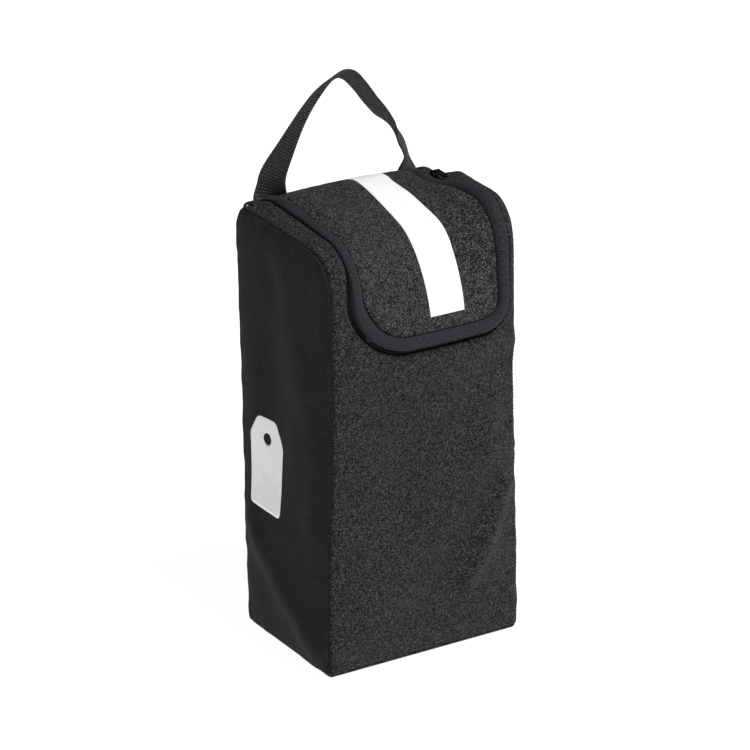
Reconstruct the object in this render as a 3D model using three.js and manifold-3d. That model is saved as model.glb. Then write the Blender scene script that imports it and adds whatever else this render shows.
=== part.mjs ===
// A zipped shoe bag: a tall soft box with a hood-shaped lid, a webbing carrying handle and a zip
// that runs in a U under the lid's bound edge. Millimetres, +Z up, front of the bag towards -Y.
// The origin is the middle of the base, on the surface that the bag stands on.
import * as THREE from "three";
import { mergeVertices } from "three/addons/utils/BufferGeometryUtils.js";
import Module from "manifold-3d";

const wasm = await Module();
wasm.setup();

// ---- driving dimensions ----
const HALF_WIDTH = 91.5; // middle to side panel, at the base
const WAIST = 5.4; // how much narrower each side is above the waist
const WAIST_FROM = 40; // heights between which the sides draw in
const WAIST_TO = 240;
const REAR_SPREAD = 2.6; // extra half width at the rear of the top
const FRONT_Y = { base: -64, top: -66.5 };
const REAR_Y = { base: 65, top: 76 };
const TOP_Z = { front: 361, rear: 370.5 };
const BASE_RADIUS = 10;
const FRONT_TOP_RADIUS = 35;
const REAR_TOP_RADIUS = 18;
const PUFF = { front: 7, top: 8, back: 6 }; // how far the middle of each face stands out
const PUFF_END_Y = 46; // where the top begins to flatten towards the hinge crease
const PANEL = 2.4; // cloth, foam and lining together
const GAP = 0.4; // clearance between pieces that are sewn together
const SEAM_RISE = 6; // how far below the corner's end the base seam runs
const COLUMNS = { body: 12, back: 10, side: 6, narrow: 4, base: 2 }; // sections across each cloth
const ROW = { curved: 5, straight: 18, base: 60, turn: 3 }; // distances between a cloth's sections

const LID_HALF = 74.5; // middle of the lid to its bound edge, before the sides draw in
const LID_BOTTOM_Z = 276;
const LID_CORNER = 38;
const LID_REAR_GAP = 3.8; // from the lid's rear edge to the hinge crease
const BINDING = { width: 12, low: 0.4, high: 6 };
const BINDING_TRIM = 6; // the binding stops this far short of the lid's rear edge
const LID_SKIN = { low: 0.4, high: 2.4 };
const LINING = { low: -1.1, high: 0 };
const LID_TAPE = { inner: -10, outer: 0.5, low: -2.7, high: -1.9 };
const LID_COIL = { inner: 0.9, outer: 2.5, low: -2.8, high: -0.6 };
const BODY_COIL = { inner: 3.7, outer: 5.3, low: -2.8, high: -0.6 };
const BODY_TAPE = { inner: 5.7, outer: 11, low: -3.8, high: -3 };
const CUT_OUT = 5.7; // from the lid's edge to the edge of the cut-out in the front panel
const MOUTH_MARGIN = { below: 3, above: 3, rear: 6 }; // how far the cut-out's tool passes the cloth
const EDGE_STEPS = 72;
const CORNER_STEPS = 6;
const BINDING_CROWN = 3; // how much higher the binding's middle stands than its edges
const LINING_INSET = 1;
const ZIP_TRIM = 8; // the zip stops this far short of the lid's rear edge
const ZIP_END_STOP = 5; // length of each zip end stop
const END_TAB = { inner: 3.4, outer: 12, length: 12, low: 0.4, high: 1.8 };

const SLIDER = { y: 38, length: 12, inner: 0.5, outer: 6.7, low: 0.4, high: 1.6 };
const SLIDER_POST = { inner: 2.8, outer: 3.4, length: 4 };
const SLIDER_KEEL = { low: -4.4, high: -3.2, inner: 0.9 };
const SLIDER_STEP = 0.2; // the post stops this far below the plate's face
const BRIDGE = { length: 10, height: 5, bar: 1.4, foot: 1, width: 2.4, gap: 0.3 };
const PULL = { length: 15, width: 5, bar: 1.5, pin: 1.5, hole: 2.6, holeIn: 2.5, back: 4, above: 1.2 };

const HANDLE_WIDTH = 30;
const HANDLE_THICK = 1.6;
const HANDLE_SPAN = 64; // middle of the bag to the middle of each sewn end
const CREASE_LIFT = 0.7; // hinge crease above the cloth
const HANDLE_TAB = { low: 1.5, high: 8 }; // sewn end, heights above the crease
const HANDLE_AXIS = 9; // height of the strap's bending line above the crease
const HANDLE_START = 1.2; // strap's first section above its bending line
const HANDLE_STEPS = 48;
const HANDLE_TURN_START = -0.1; // share of each leg's rise where its quarter turn starts
const HANDLE_TURN_END = 0.5;
const HANDLE_LEVEL_END = 0.2; // and where its width leaves the bag's own direction
const HANDLE_RISE = [
  [0, 0],
  [4, 15],
  [16, 41],
  [34, 68],
  [54, 87],
  [71, 93.5],
  [86, 85],
  [104, 63],
  [117, 40],
  [125, 16],
  [128, 0],
]; // from the left sewn end: distance to the right, height above the bending line

const PRINT_BAND = { left: 0, right: 32, bottomZ: 300, rearY: 56, low: 2.8, high: 3.2 };
const PRINT_MARK = { y: 26, z: 158, width: 48, height: 80, corner: 9, hole: 5, thick: 0.5, clear: 0.4 };
const LABEL = { x: 30, z: 330, width: 26, height: 40, thick: 0.6, clear: 2.2 };
const SIDE_SEAM = { wide: 1.4, high: -4.4, low: -9, rows: 56 }; // bound seam allowances
const BASE_SEAM = { from: 1, wide: 1.4, tall: 6, endGap: 8 };
const CREASE_TAPE = { reach: 6, endGap: 12, low: -4, clear: 0.5 };

// ---- materials ----
const finish = (color, roughness, metalness = 0) =>
  new THREE.MeshStandardMaterial({ color, roughness, metalness });
const cloth = finish(0x1c1c1f, 0.9);
const sideCloth = finish(0x17181c, 0.85);
const mesh = finish(0x141416, 0.95);
const lining = finish(0x202024, 0.9);
const bindingTape = finish(0x25262c, 0.85);
const webbing = finish(0x151517, 0.9);
const coilPlastic = finish(0x101012, 0.5);
const darkMetal = finish(0x2a2a2c, 0.35, 0.9);
const whitePrint = finish(0xf2f4f6, 0.6);
const labelCloth = finish(0xdadada, 0.8);

// ---- the bag's outline, seen from the side, as one closed path from the middle of the base ----
function roundedOutline(corners) {
  const path = new THREE.Path().moveTo(0, 0);
  const marks = [];
  corners.forEach(({ at, radius }, i) => {
    const before = (corners[i - 1]?.at ?? new THREE.Vector2(0, 0)).clone();
    const after = (corners[i + 1]?.at ?? new THREE.Vector2(0, 0)).clone();
    const back = before.sub(at).normalize();
    const on = after.sub(at).normalize();
    const half = Math.acos(back.dot(on)) / 2;
    const reach = radius / Math.tan(half);
    const middle = back.clone().add(on).normalize().multiplyScalar(radius / Math.sin(half)).add(at);
    const start = back.multiplyScalar(reach).add(at);
    const end = on.multiplyScalar(reach).add(at);
    const angle = (p) => Math.atan2(p.y - middle.y, p.x - middle.x);
    path.lineTo(start.x, start.y);
    marks.push(path.getLength());
    path.absarc(middle.x, middle.y, radius, angle(start), angle(end), true);
    marks.push(path.getLength());
  });
  return [path.lineTo(0, 0), marks];
}
const [outline, marks] = roundedOutline([
  { at: new THREE.Vector2(FRONT_Y.base, 0), radius: BASE_RADIUS },
  { at: new THREE.Vector2(FRONT_Y.top, TOP_Z.front), radius: FRONT_TOP_RADIUS },
  { at: new THREE.Vector2(REAR_Y.top, TOP_Z.rear), radius: REAR_TOP_RADIUS },
  { at: new THREE.Vector2(REAR_Y.base, 0), radius: BASE_RADIUS },
]);
const AROUND = outline.getLength();
// Distances round the outline where its lines and arcs end.
const [S_FRONT_TURN, S_FRONT, S_FRONT_TOP, S_TOP, S_TOP_REAR, S_BACK, S_BACK_END, S_BASE_REAR] = marks;
const S_HINGE = (S_TOP_REAR + S_BACK) / 2;
const frontAt = (z) => S_FRONT + z - BASE_RADIUS;
const topAt = (y) => S_TOP_REAR - (REAR_Y.top - REAR_TOP_RADIUS - y);

const smooth = (v, from, to) => THREE.MathUtils.smoothstep(v, from, to);

// How far the middle of the cloth stands out, by distance round the outline.
function puff(s) {
  if (s < S_FRONT || s > S_BACK_END) return 0;
  const front = PUFF.front * smooth(s, S_FRONT, S_FRONT + 90);
  const top = (PUFF.top - PUFF.front) * smooth(s, S_FRONT_TOP - 60, S_TOP);
  const toHinge = 1 - smooth(s, topAt(PUFF_END_Y), S_HINGE);
  const back = PUFF.back * smooth(s, S_HINGE, S_HINGE + 120) * (1 - smooth(s, S_BACK_END - 90, S_BACK_END));
  return s < S_HINGE ? (front + top) * toHinge : back;
}

// The sides draw in above the waist, less at the rear.
function widthScale(y, z) {
  const up = smooth(z, WAIST_FROM, WAIST_TO);
  const rear = THREE.MathUtils.clamp((y - FRONT_Y.top) / (REAR_Y.top - FRONT_Y.top), 0, 1);
  return 1 - (up * (WAIST - REAR_SPREAD * rear)) / HALF_WIDTH;
}

// A point at x across the bag, s round the outline and n out of the cloth.
function wrap(x, s, n) {
  const t = THREE.MathUtils.euclideanModulo(s, AROUND) / AROUND;
  const at = outline.getPoint(t);
  const along = outline.getTangent(t);
  const out = n + puff(s) * (1 - (x / HALF_WIDTH) ** 2);
  const y = at.x - along.y * out;
  const z = at.y + along.x * out;
  return new THREE.Vector3(x * widthScale(at.x, at.y), y, z);
}

// ---- solid builders ----
const steps = (count, from = 0, to = 1) =>
  Array.from({ length: count + 1 }, (_, i) => from + ((to - from) * i) / count);

// A closed solid through sections. The first half of a section runs along its top, the rest
// comes back along its bottom.
function solidThrough(sections, closed = false) {
  const size = sections[0].length;
  const points = sections.flat();
  const faces = [];
  const quad = (a, b, c, d) => faces.push(a, b, c, a, c, d);
  const last = closed ? sections.length : sections.length - 1;
  for (let i = 0; i < last; i++) {
    const here = i * size;
    const next = ((i + 1) % sections.length) * size;
    for (let k = 0; k < size; k++) {
      const l = (k + 1) % size;
      quad(here + k, here + l, next + l, next + k);
    }
  }
  if (!closed) {
    const end = (sections.length - 1) * size;
    for (let k = 0; k < size / 2 - 1; k++) {
      const m = size - 1 - k;
      quad(k, m, m - 1, k + 1);
      quad(end + k, end + k + 1, end + m - 1, end + m);
    }
  }
  const geometry = new THREE.BufferGeometry().setFromPoints(points);
  geometry.setIndex(faces);
  return facingOut(geometry);
}

// Turns the faces round where they point inwards.
function facingOut(geometry) {
  const at = geometry.getAttribute("position");
  const index = geometry.index.array;
  const [a, b, c] = [new THREE.Vector3(), new THREE.Vector3(), new THREE.Vector3()];
  let volume = 0;
  for (let i = 0; i < index.length; i += 3) {
    a.fromBufferAttribute(at, index[i]);
    b.fromBufferAttribute(at, index[i + 1]);
    c.fromBufferAttribute(at, index[i + 2]);
    volume += a.dot(b.cross(c));
  }
  if (volume < 0) {
    for (let i = 0; i < index.length; i += 3) {
      [index[i + 1], index[i + 2]] = [index[i + 2], index[i + 1]];
    }
  }
  return geometry;
}

function toManifold(geometry) {
  const bare = geometry.clone();
  bare.deleteAttribute("normal");
  bare.deleteAttribute("uv");
  const merged = mergeVertices(bare, 1e-4);
  return new wasm.Manifold(
    new wasm.Mesh({
      numProp: 3,
      vertProperties: merged.attributes.position.array,
      triVerts: new Uint32Array(merged.index.array),
    }),
  );
}

function fromManifold(solid) {
  const { vertProperties, triVerts } = solid.getMesh();
  const geometry = new THREE.BufferGeometry();
  geometry.setAttribute("position", new THREE.BufferAttribute(vertProperties, 3));
  return geometry.setIndex(new THREE.BufferAttribute(triVerts, 1));
}
const cut = (from, ...tools) =>
  fromManifold(tools.reduce((solid, tool) => solid.subtract(toManifold(tool)), toManifold(from)));
const join = (...parts) =>
  fromManifold(parts.map(toManifold).reduce((whole, part) => whole.add(part)));

// Cloth that lies round the outline: rows at the given distances, each reaching over halfAt(s).
function wrappedCloth({ rows, columns, left, right, low, high }) {
  const sections = rows.map((s) => {
    const across = steps(columns, left(s), right(s));
    const top = across.map((x) => wrap(x, s, high));
    const bottom = across.map((x) => wrap(x, s, low)).reverse();
    return [...top, ...bottom];
  });
  return solidThrough(sections);
}
const fullWidth = HALF_WIDTH - PANEL - GAP;
const fullSpan = { left: () => -fullWidth, right: () => fullWidth };
const between = (from, to, pitch) => steps(Math.max(1, Math.round((to - from) / pitch)), from, to);

// Rows that are close together only where the outline is curved.
function rowsBetween(from, to) {
  const turns = [...marks, topAt(PUFF_END_Y)].sort((a, b) => a - b);
  const stops = [from, ...turns.filter((s) => s > from + ROW.turn && s < to - ROW.turn), to];
  return stops.flatMap((s, i) => {
    if (i === 0) return [s];
    const middle = (stops[i - 1] + s) / 2;
    const atFront = middle > S_FRONT_TOP && middle < S_TOP;
    const atRear = middle > topAt(PUFF_END_Y) && middle < S_BACK;
    return between(stops[i - 1], s, atFront || atRear ? ROW.curved : ROW.straight).slice(1);
  });
}

// The lid's edge, a U laid out flat: x across, s round the outline.
const LID_BOTTOM = frontAt(LID_BOTTOM_Z);
const LID_END = S_HINGE - LID_REAR_GAP;
const lidEdge = new THREE.Path()
  .moveTo(-LID_HALF, LID_END)
  .lineTo(-LID_HALF, LID_BOTTOM + LID_CORNER)
  .absarc(-LID_HALF + LID_CORNER, LID_BOTTOM + LID_CORNER, LID_CORNER, Math.PI, 1.5 * Math.PI, false)
  .lineTo(LID_HALF - LID_CORNER, LID_BOTTOM)
  .absarc(LID_HALF - LID_CORNER, LID_BOTTOM + LID_CORNER, LID_CORNER, 1.5 * Math.PI, 2 * Math.PI, false)
  .lineTo(LID_HALF, LID_END);

// A band that follows the lid's edge. Offsets are positive outside the lid; crown lifts its middle.
function edgeBand({ inner, outer, low, high, crown = 0 }, startTrim = 0, endTrim = startTrim) {
  const length = lidEdge.getLength();
  const across = crown ? [0, 0.2, 0.5, 0.8, 1] : [0, 1];
  const sections = steps(EDGE_STEPS, startTrim / length, 1 - endTrim / length).map((t) => {
    const at = lidEdge.getPoint(t);
    const along = lidEdge.getTangent(t);
    const point = (f, n) => {
      const d = inner + (outer - inner) * f;
      return wrap(at.x + along.y * d, at.y - along.x * d, n);
    };
    const top = across.map((f) => point(f, high - crown * (2 * f - 1) ** 4));
    const bottom = across.map((f) => point(f, low)).reverse();
    return [...top, ...bottom];
  });
  return solidThrough(sections);
}

// The ribbed tape round the lid's edge.
function lidBinding() {
  const { width, low, high } = BINDING;
  return edgeBand({ inner: -width, outer: 0, low, high, crown: BINDING_CROWN }, BINDING_TRIM);
}

// Half the lid's width at s, for a lid grown by the given amount.
function lidHalf(s, grow) {
  const below = LID_BOTTOM + LID_CORNER - s;
  const radius = LID_CORNER + grow;
  const bite = below > 0 ? radius - Math.sqrt(Math.max(0, radius ** 2 - below ** 2)) : 0;
  return LID_HALF + grow - bite;
}
function lidShape({ low, high }, grow, end, columns) {
  const bottom = LID_BOTTOM - grow;
  const radius = LID_CORNER + grow;
  const corner = steps(CORNER_STEPS, 0, Math.PI / 2).map((a) => bottom + radius * (1 - Math.cos(a)));
  const rows = [...corner, ...rowsBetween(LID_BOTTOM + LID_CORNER, end).slice(1)];
  return wrappedCloth({
    rows,
    columns,
    left: (s) => -lidHalf(s, grow),
    right: (s) => lidHalf(s, grow),
    low,
    high,
  });
}

// ---- the shell's cloth ----
function frontPanel() {
  const whole = wrappedCloth({
    rows: rowsBetween(S_FRONT - SEAM_RISE, S_HINGE - GAP),
    columns: COLUMNS.body,
    ...fullSpan,
    low: -PANEL,
    high: 0,
  });
  const depth = { low: -PANEL - MOUTH_MARGIN.below, high: MOUTH_MARGIN.above };
  const mouth = lidShape(depth, CUT_OUT, S_HINGE + MOUTH_MARGIN.rear, COLUMNS.body);
  return cut(whole, mouth);
}

const backPanel = () =>
  wrappedCloth({
    rows: rowsBetween(S_HINGE + GAP, S_BACK_END + SEAM_RISE),
    columns: COLUMNS.back,
    ...fullSpan,
    low: -PANEL,
    high: 0,
  });

// The base turns up at the front and the rear to meet the other panels.
function basePanel() {
  const rear = S_BACK_END + SEAM_RISE + GAP;
  const front = AROUND + S_FRONT - SEAM_RISE - GAP;
  const rows = [
    ...between(rear, S_BASE_REAR, ROW.turn),
    ...between(S_BASE_REAR, AROUND + S_FRONT_TURN, ROW.base).slice(1),
    ...between(AROUND + S_FRONT_TURN, front, ROW.turn).slice(1),
  ];
  return wrappedCloth({ rows, columns: COLUMNS.base, ...fullSpan, low: -PANEL, high: 0 });
}

// A side panel fills the outline: each row crosses from the front of the outline to its rear.
function sidePanel(side) {
  const rows = [
    [S_FRONT_TURN, S_FRONT, S_BASE_REAR, S_BACK_END, 4],
    [S_FRONT, S_FRONT_TOP, S_BACK_END, S_BACK, 12],
    [S_FRONT_TOP, S_TOP, S_BACK, S_TOP_REAR, 9],
  ].flatMap(([front0, front1, rear0, rear1, count]) =>
    steps(count).map((f) => [front0 + (front1 - front0) * f, rear0 + (rear1 - rear0) * f]),
  );
  const distinct = rows.filter(([front], i) => i === 0 || front > rows[i - 1][0]);
  const sections = distinct.map(([front, rear]) => {
    const from = outline.getPoint(front / AROUND);
    const to = outline.getPoint(rear / AROUND);
    const across = steps(COLUMNS.side).map((f) => from.clone().lerp(to, f));
    const place = (x, y, z) => new THREE.Vector3(side * x * widthScale(y, z), y, z);
    const face = (x) => across.map((p) => place(x, p.x, p.y));
    return [...face(HALF_WIDTH), ...face(HALF_WIDTH - PANEL).reverse()];
  });
  return solidThrough(sections);
}

// Turns a solid drawn in the side view, with its thickness from zero, to lie at |x| = from.
function placeAcross(geometry, side, from) {
  const flat = mergeVertices(stripped(geometry), 1e-4);
  const at = flat.getAttribute("position");
  for (let i = 0; i < at.count; i++) {
    const y = at.getX(i);
    const z = at.getY(i);
    at.setXYZ(i, side * (from + at.getZ(i)) * widthScale(y, z), y, z);
  }
  return facingOut(flat);
}
function stripped(geometry) {
  geometry.deleteAttribute("normal");
  geometry.deleteAttribute("uv");
  return geometry;
}

// The bound seam allowance inside each side seam, a ring that follows the outline.
function seamBinding(side) {
  const [from, to] = [fullWidth - SIDE_SEAM.wide, fullWidth];
  const rows = steps(SIDE_SEAM.rows, 0, AROUND).slice(0, -1);
  const sections = rows.map((s) => [
    wrap(side * from, s, SIDE_SEAM.high),
    wrap(side * to, s, SIDE_SEAM.high),
    wrap(side * to, s, SIDE_SEAM.low),
    wrap(side * from, s, SIDE_SEAM.low),
  ]);
  return solidThrough(sections, true);
}

// The bound seam allowance inside the front and rear base seams.
function baseSeamBinding(s, direction) {
  const from = s + direction * BASE_SEAM.from;
  const to = from + direction * BASE_SEAM.wide;
  const high = -PANEL - GAP;
  const low = high - BASE_SEAM.tall;
  const reach = fullWidth - BASE_SEAM.endGap;
  const sections = steps(COLUMNS.narrow, -reach, reach).map((x) => [
    wrap(x, from, high),
    wrap(x, to, high),
    wrap(x, to, low),
    wrap(x, from, low),
  ]);
  return solidThrough(sections);
}

// The tape sewn behind the crease where the lid meets the back.
function lidSeamTape() {
  return wrappedCloth({
    rows: between(S_HINGE - CREASE_TAPE.reach, S_HINGE + CREASE_TAPE.reach, ROW.turn),
    columns: COLUMNS.narrow,
    left: () => -LID_HALF + CREASE_TAPE.endGap,
    right: () => LID_HALF - CREASE_TAPE.endGap,
    low: CREASE_TAPE.low,
    high: -PANEL - CREASE_TAPE.clear,
  });
}

// ---- zip ----
const bodyTape = () => edgeBand(BODY_TAPE, ZIP_TRIM);
const bodyCoil = () => edgeBand(BODY_COIL, ZIP_TRIM + ZIP_END_STOP + GAP);
const lidTape = () => edgeBand(LID_TAPE, ZIP_TRIM);
const lidCoil = () => edgeBand(LID_COIL, ZIP_TRIM);

// A small block that follows the lid's edge beside the coil's end.
function zipStop(side) {
  const end = LID_END - ZIP_TRIM;
  const x = (offset) => side * (LID_HALF + offset);
  const sections = between(end - ZIP_END_STOP, end, ZIP_END_STOP / 2).map((s) => [
    wrap(x(BODY_COIL.inner), s, BODY_COIL.high),
    wrap(x(BODY_COIL.outer), s, BODY_COIL.high),
    wrap(x(BODY_COIL.outer), s, BODY_COIL.low),
    wrap(x(BODY_COIL.inner), s, BODY_COIL.low),
  ]);
  return solidThrough(sections);
}

// The cloth tab that covers each end of the zip.
function zipEndTab(side) {
  const start = LID_END - END_TAB.length;
  const x = (offset) => side * (LID_HALF + offset);
  const sections = between(start, LID_END, ROW.turn).map((s) => [
    wrap(x(END_TAB.inner), s, END_TAB.high),
    wrap(x(END_TAB.outer), s, END_TAB.high),
    wrap(x(END_TAB.outer), s, END_TAB.low),
    wrap(x(END_TAB.inner), s, END_TAB.low),
  ]);
  return solidThrough(sections);
}

// ---- slider ----
// The slider's own frame lies on the zip: x outwards across it, y back along it, z out of the cloth.
const sliderS = topAt(SLIDER.y);
const sliderOrigin = wrap(LID_HALF, sliderS, 0);
const sliderBack = wrap(LID_HALF, sliderS + 5, 0).sub(wrap(LID_HALF, sliderS - 5, 0)).normalize();
const sliderUp = wrap(LID_HALF, sliderS, 1).sub(sliderOrigin).normalize();
const sliderOut = new THREE.Vector3().crossVectors(sliderBack, sliderUp).normalize();
const sliderMatrix = new THREE.Matrix4()
  .makeBasis(sliderOut, sliderBack, sliderUp)
  .setPosition(sliderOrigin);
const narrow = widthScale(SLIDER.y, TOP_Z.rear);
const sliderMiddle = ((SLIDER.inner + SLIDER.outer) / 2) * narrow;

const block = (x0, x1, y0, y1, z0, z1) =>
  new THREE.BoxGeometry(x1 - x0, y1 - y0, z1 - z0).translate((x0 + x1) / 2, (y0 + y1) / 2, (z0 + z1) / 2);

function sliderBody() {
  const half = SLIDER.length / 2;
  const plate = block(SLIDER.inner, SLIDER.outer * narrow, -half, half, SLIDER.low, SLIDER.high);
  const post = block(
    SLIDER_POST.inner * narrow,
    SLIDER_POST.outer * narrow,
    -half,
    -half + SLIDER_POST.length,
    SLIDER_KEEL.low,
    SLIDER.high - SLIDER_STEP,
  );
  const keel = block(
    SLIDER_KEEL.inner,
    SLIDER_POST.outer * narrow,
    -half,
    half,
    SLIDER_KEEL.low,
    SLIDER_KEEL.high,
  );
  return join(plate, post, keel).applyMatrix4(sliderMatrix);
}

const bridgeFoot = SLIDER.high + BRIDGE.gap;
const pullPivot = { y: -PULL.back, z: bridgeFoot + BRIDGE.height + PULL.above };

// A flat arch over the slider, standing on its plate.
function sliderBridge() {
  const half = BRIDGE.length / 2;
  const shape = new THREE.Shape();
  shape.moveTo(-half, 0);
  shape.lineTo(half, 0);
  shape.quadraticCurveTo(half, BRIDGE.height, 0, BRIDGE.height);
  shape.quadraticCurveTo(-half, BRIDGE.height, -half, 0);
  const hole = new THREE.Path();
  const inner = half - BRIDGE.bar;
  hole.moveTo(-inner, BRIDGE.foot);
  hole.lineTo(inner, BRIDGE.foot);
  hole.quadraticCurveTo(inner, BRIDGE.height - BRIDGE.bar, 0, BRIDGE.height - BRIDGE.bar);
  hole.quadraticCurveTo(-inner, BRIDGE.height - BRIDGE.bar, -inner, BRIDGE.foot);
  shape.holes.push(hole);
  const arch = new THREE.ExtrudeGeometry(shape, {
    depth: BRIDGE.width,
    bevelEnabled: false,
    curveSegments: 8,
  });
  arch.rotateX(Math.PI / 2).rotateZ(Math.PI / 2);
  arch.translate(sliderMiddle - BRIDGE.width / 2, 0, bridgeFoot);
  return arch.applyMatrix4(sliderMatrix);
}

// The metal tab that hangs from the bridge. It lies forward along the zip, with a round hole at each end.
function pullTab() {
  const shape = new THREE.Shape();
  const half = PULL.width / 2;
  shape.moveTo(half, PULL.pin);
  shape.lineTo(-half, PULL.pin);
  shape.lineTo(-half, half - PULL.length);
  shape.absarc(0, half - PULL.length, half, Math.PI, 2 * Math.PI, false);
  [-PULL.holeIn, half - PULL.length].forEach((y) => {
    shape.holes.push(new THREE.Path().absarc(0, y, PULL.hole / 2, 0, 2 * Math.PI, true));
  });
  const tab = new THREE.ExtrudeGeometry(shape, { depth: PULL.bar, bevelEnabled: false, curveSegments: 8 });
  tab.translate(sliderMiddle, pullPivot.y, pullPivot.z - PULL.bar / 2);
  return tab.applyMatrix4(sliderMatrix);
}

// ---- handle ----
const hinge = wrap(0, S_HINGE, CREASE_LIFT);
const strapPivotZ = hinge.z + HANDLE_AXIS;

// The sewn end of the webbing stands behind the lid's rear edge.
function handleBase(side) {
  const height = HANDLE_TAB.high - HANDLE_TAB.low;
  const tab = new THREE.BoxGeometry(HANDLE_WIDTH, HANDLE_THICK, height);
  return tab.translate(side * HANDLE_SPAN, hinge.y, hinge.z + HANDLE_TAB.low + height / 2);
}

// The strap lies flat across the bag at its ends, its outer face to the front. It turns a quarter
// on its way up each leg, so that the outer face is on top at the peak.
function handleStrap() {
  const route = new THREE.CatmullRomCurve3(
    HANDLE_RISE.map(([x, z]) => new THREE.Vector3(x - HANDLE_SPAN, hinge.y, strapPivotZ + z)),
    false,
    "centripetal",
  );
  const trim = HANDLE_START / route.getLength();
  const sections = steps(HANDLE_STEPS, trim, 1 - trim).map((t) => {
    const at = route.getPointAt(t);
    const along = route.getTangentAt(t);
    const rise = Math.min(t, 1 - t) * 2;
    const turn = (Math.PI / 2) * smooth(rise, HANDLE_TURN_START, HANDLE_TURN_END);
    const level = new THREE.Vector3(Math.sign(along.z), 0, 0);
    level.lerp(new THREE.Vector3(along.z, 0, -along.x), smooth(rise, 0, HANDLE_LEVEL_END)).normalize();
    const width = level.multiplyScalar(Math.cos(turn)).add(new THREE.Vector3(0, -Math.sin(turn), 0));
    const face = new THREE.Vector3().crossVectors(along, width).normalize();
    const corner = (w, f) =>
      at
        .clone()
        .addScaledVector(width, (w * HANDLE_WIDTH) / 2)
        .addScaledVector(face, (f * HANDLE_THICK) / 2);
    return [corner(-1, 1), corner(1, 1), corner(1, -1), corner(-1, -1)];
  });
  return solidThrough(sections);
}

// ---- prints and label ----
function printBand() {
  return wrappedCloth({
    rows: rowsBetween(frontAt(PRINT_BAND.bottomZ), topAt(PRINT_BAND.rearY)),
    columns: COLUMNS.narrow,
    left: () => PRINT_BAND.left,
    right: () => PRINT_BAND.right,
    low: PRINT_BAND.low,
    high: PRINT_BAND.high,
  });
}

// A plain luggage-tag shape with a round hole, printed on the left side.
function printMark() {
  const { y, z, width, height, corner, hole, thick, clear } = PRINT_MARK;
  const [w, h] = [width / 2, height / 2];
  const shape = new THREE.Shape();
  shape.moveTo(-w + corner, -h);
  shape.lineTo(w - corner, -h);
  shape.absarc(w - corner, -h + corner, corner, -Math.PI / 2, 0, false);
  shape.lineTo(w, h - 2 * corner);
  shape.lineTo(w / 2, h);
  shape.lineTo(-w / 2, h);
  shape.lineTo(-w, h - 2 * corner);
  shape.lineTo(-w, -h + corner);
  shape.absarc(-w + corner, -h + corner, corner, Math.PI, 1.5 * Math.PI, false);
  shape.holes.push(new THREE.Path().absarc(0, h - 2 * corner, hole, 0, 2 * Math.PI, true));
  const film = new THREE.ExtrudeGeometry(shape, { depth: thick, bevelEnabled: false, curveSegments: 6 });
  return placeAcross(film.translate(y, z, 0), -1, HALF_WIDTH + clear);
}

// A blank care label, sewn inside the back panel near the top.
function careLabel() {
  const inner = wrap(LABEL.x, S_BACK + TOP_Z.rear - REAR_TOP_RADIUS - LABEL.z, -PANEL);
  const label = new THREE.BoxGeometry(LABEL.width, LABEL.thick, LABEL.height);
  return label.translate(inner.x, inner.y - LABEL.clear, inner.z);
}

// ---- the assembly ----
const bag = new THREE.Group();
function add(name, geometry, material) {
  const piece = new THREE.Mesh(geometry, material);
  piece.name = name;
  bag.add(piece);
}

add("front_panel", frontPanel(), cloth);
add("back_panel", backPanel(), cloth);
add("base_panel", basePanel(), cloth);
add("side_panel_left", sidePanel(-1), sideCloth);
add("side_panel_right", sidePanel(1), mesh);
add("base_seam_binding_front", baseSeamBinding(S_FRONT - SEAM_RISE, 1), bindingTape);
add("base_seam_binding_back", baseSeamBinding(S_BACK_END + SEAM_RISE, -1), bindingTape);
add("lid_seam_tape", lidSeamTape(), bindingTape);
add("zip_tape_body", bodyTape(), bindingTape);
add("zip_coil_body", bodyCoil(), coilPlastic);
add("zip_tape_lid", lidTape(), bindingTape);
add("zip_coil_lid", lidCoil(), coilPlastic);
for (const [side, end] of [[-1, "left"], [1, "right"]]) {
  add("seam_binding_" + end, seamBinding(side), bindingTape);
  add("zip_end_stop_" + end, zipStop(side), darkMetal);
  add("zip_end_tab_" + end, zipEndTab(side), cloth);
  add("handle_base_" + end, handleBase(side), webbing);
}
add("lid_panel", lidShape(LID_SKIN, -BINDING.width - GAP, LID_END, COLUMNS.body), cloth);
add("lid_lining", lidShape(LINING, -LINING_INSET, LID_END, COLUMNS.body), lining);
add("lid_binding", lidBinding(), bindingTape);
add("handle_strap", handleStrap(), webbing);
add("slider_body", sliderBody(), darkMetal);
add("slider_bridge", sliderBridge(), darkMetal);
add("pull_tab", pullTab(), darkMetal);
add("lid_print_band", printBand(), whitePrint);
add("side_print_mark", printMark(), whitePrint);
add("care_label", careLabel(), labelCloth);

export default bag;
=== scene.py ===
import math

import bmesh
import bpy
import numpy as np
from mathutils import Matrix, Vector
from mathutils.bvhtree import BVHTree


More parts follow.
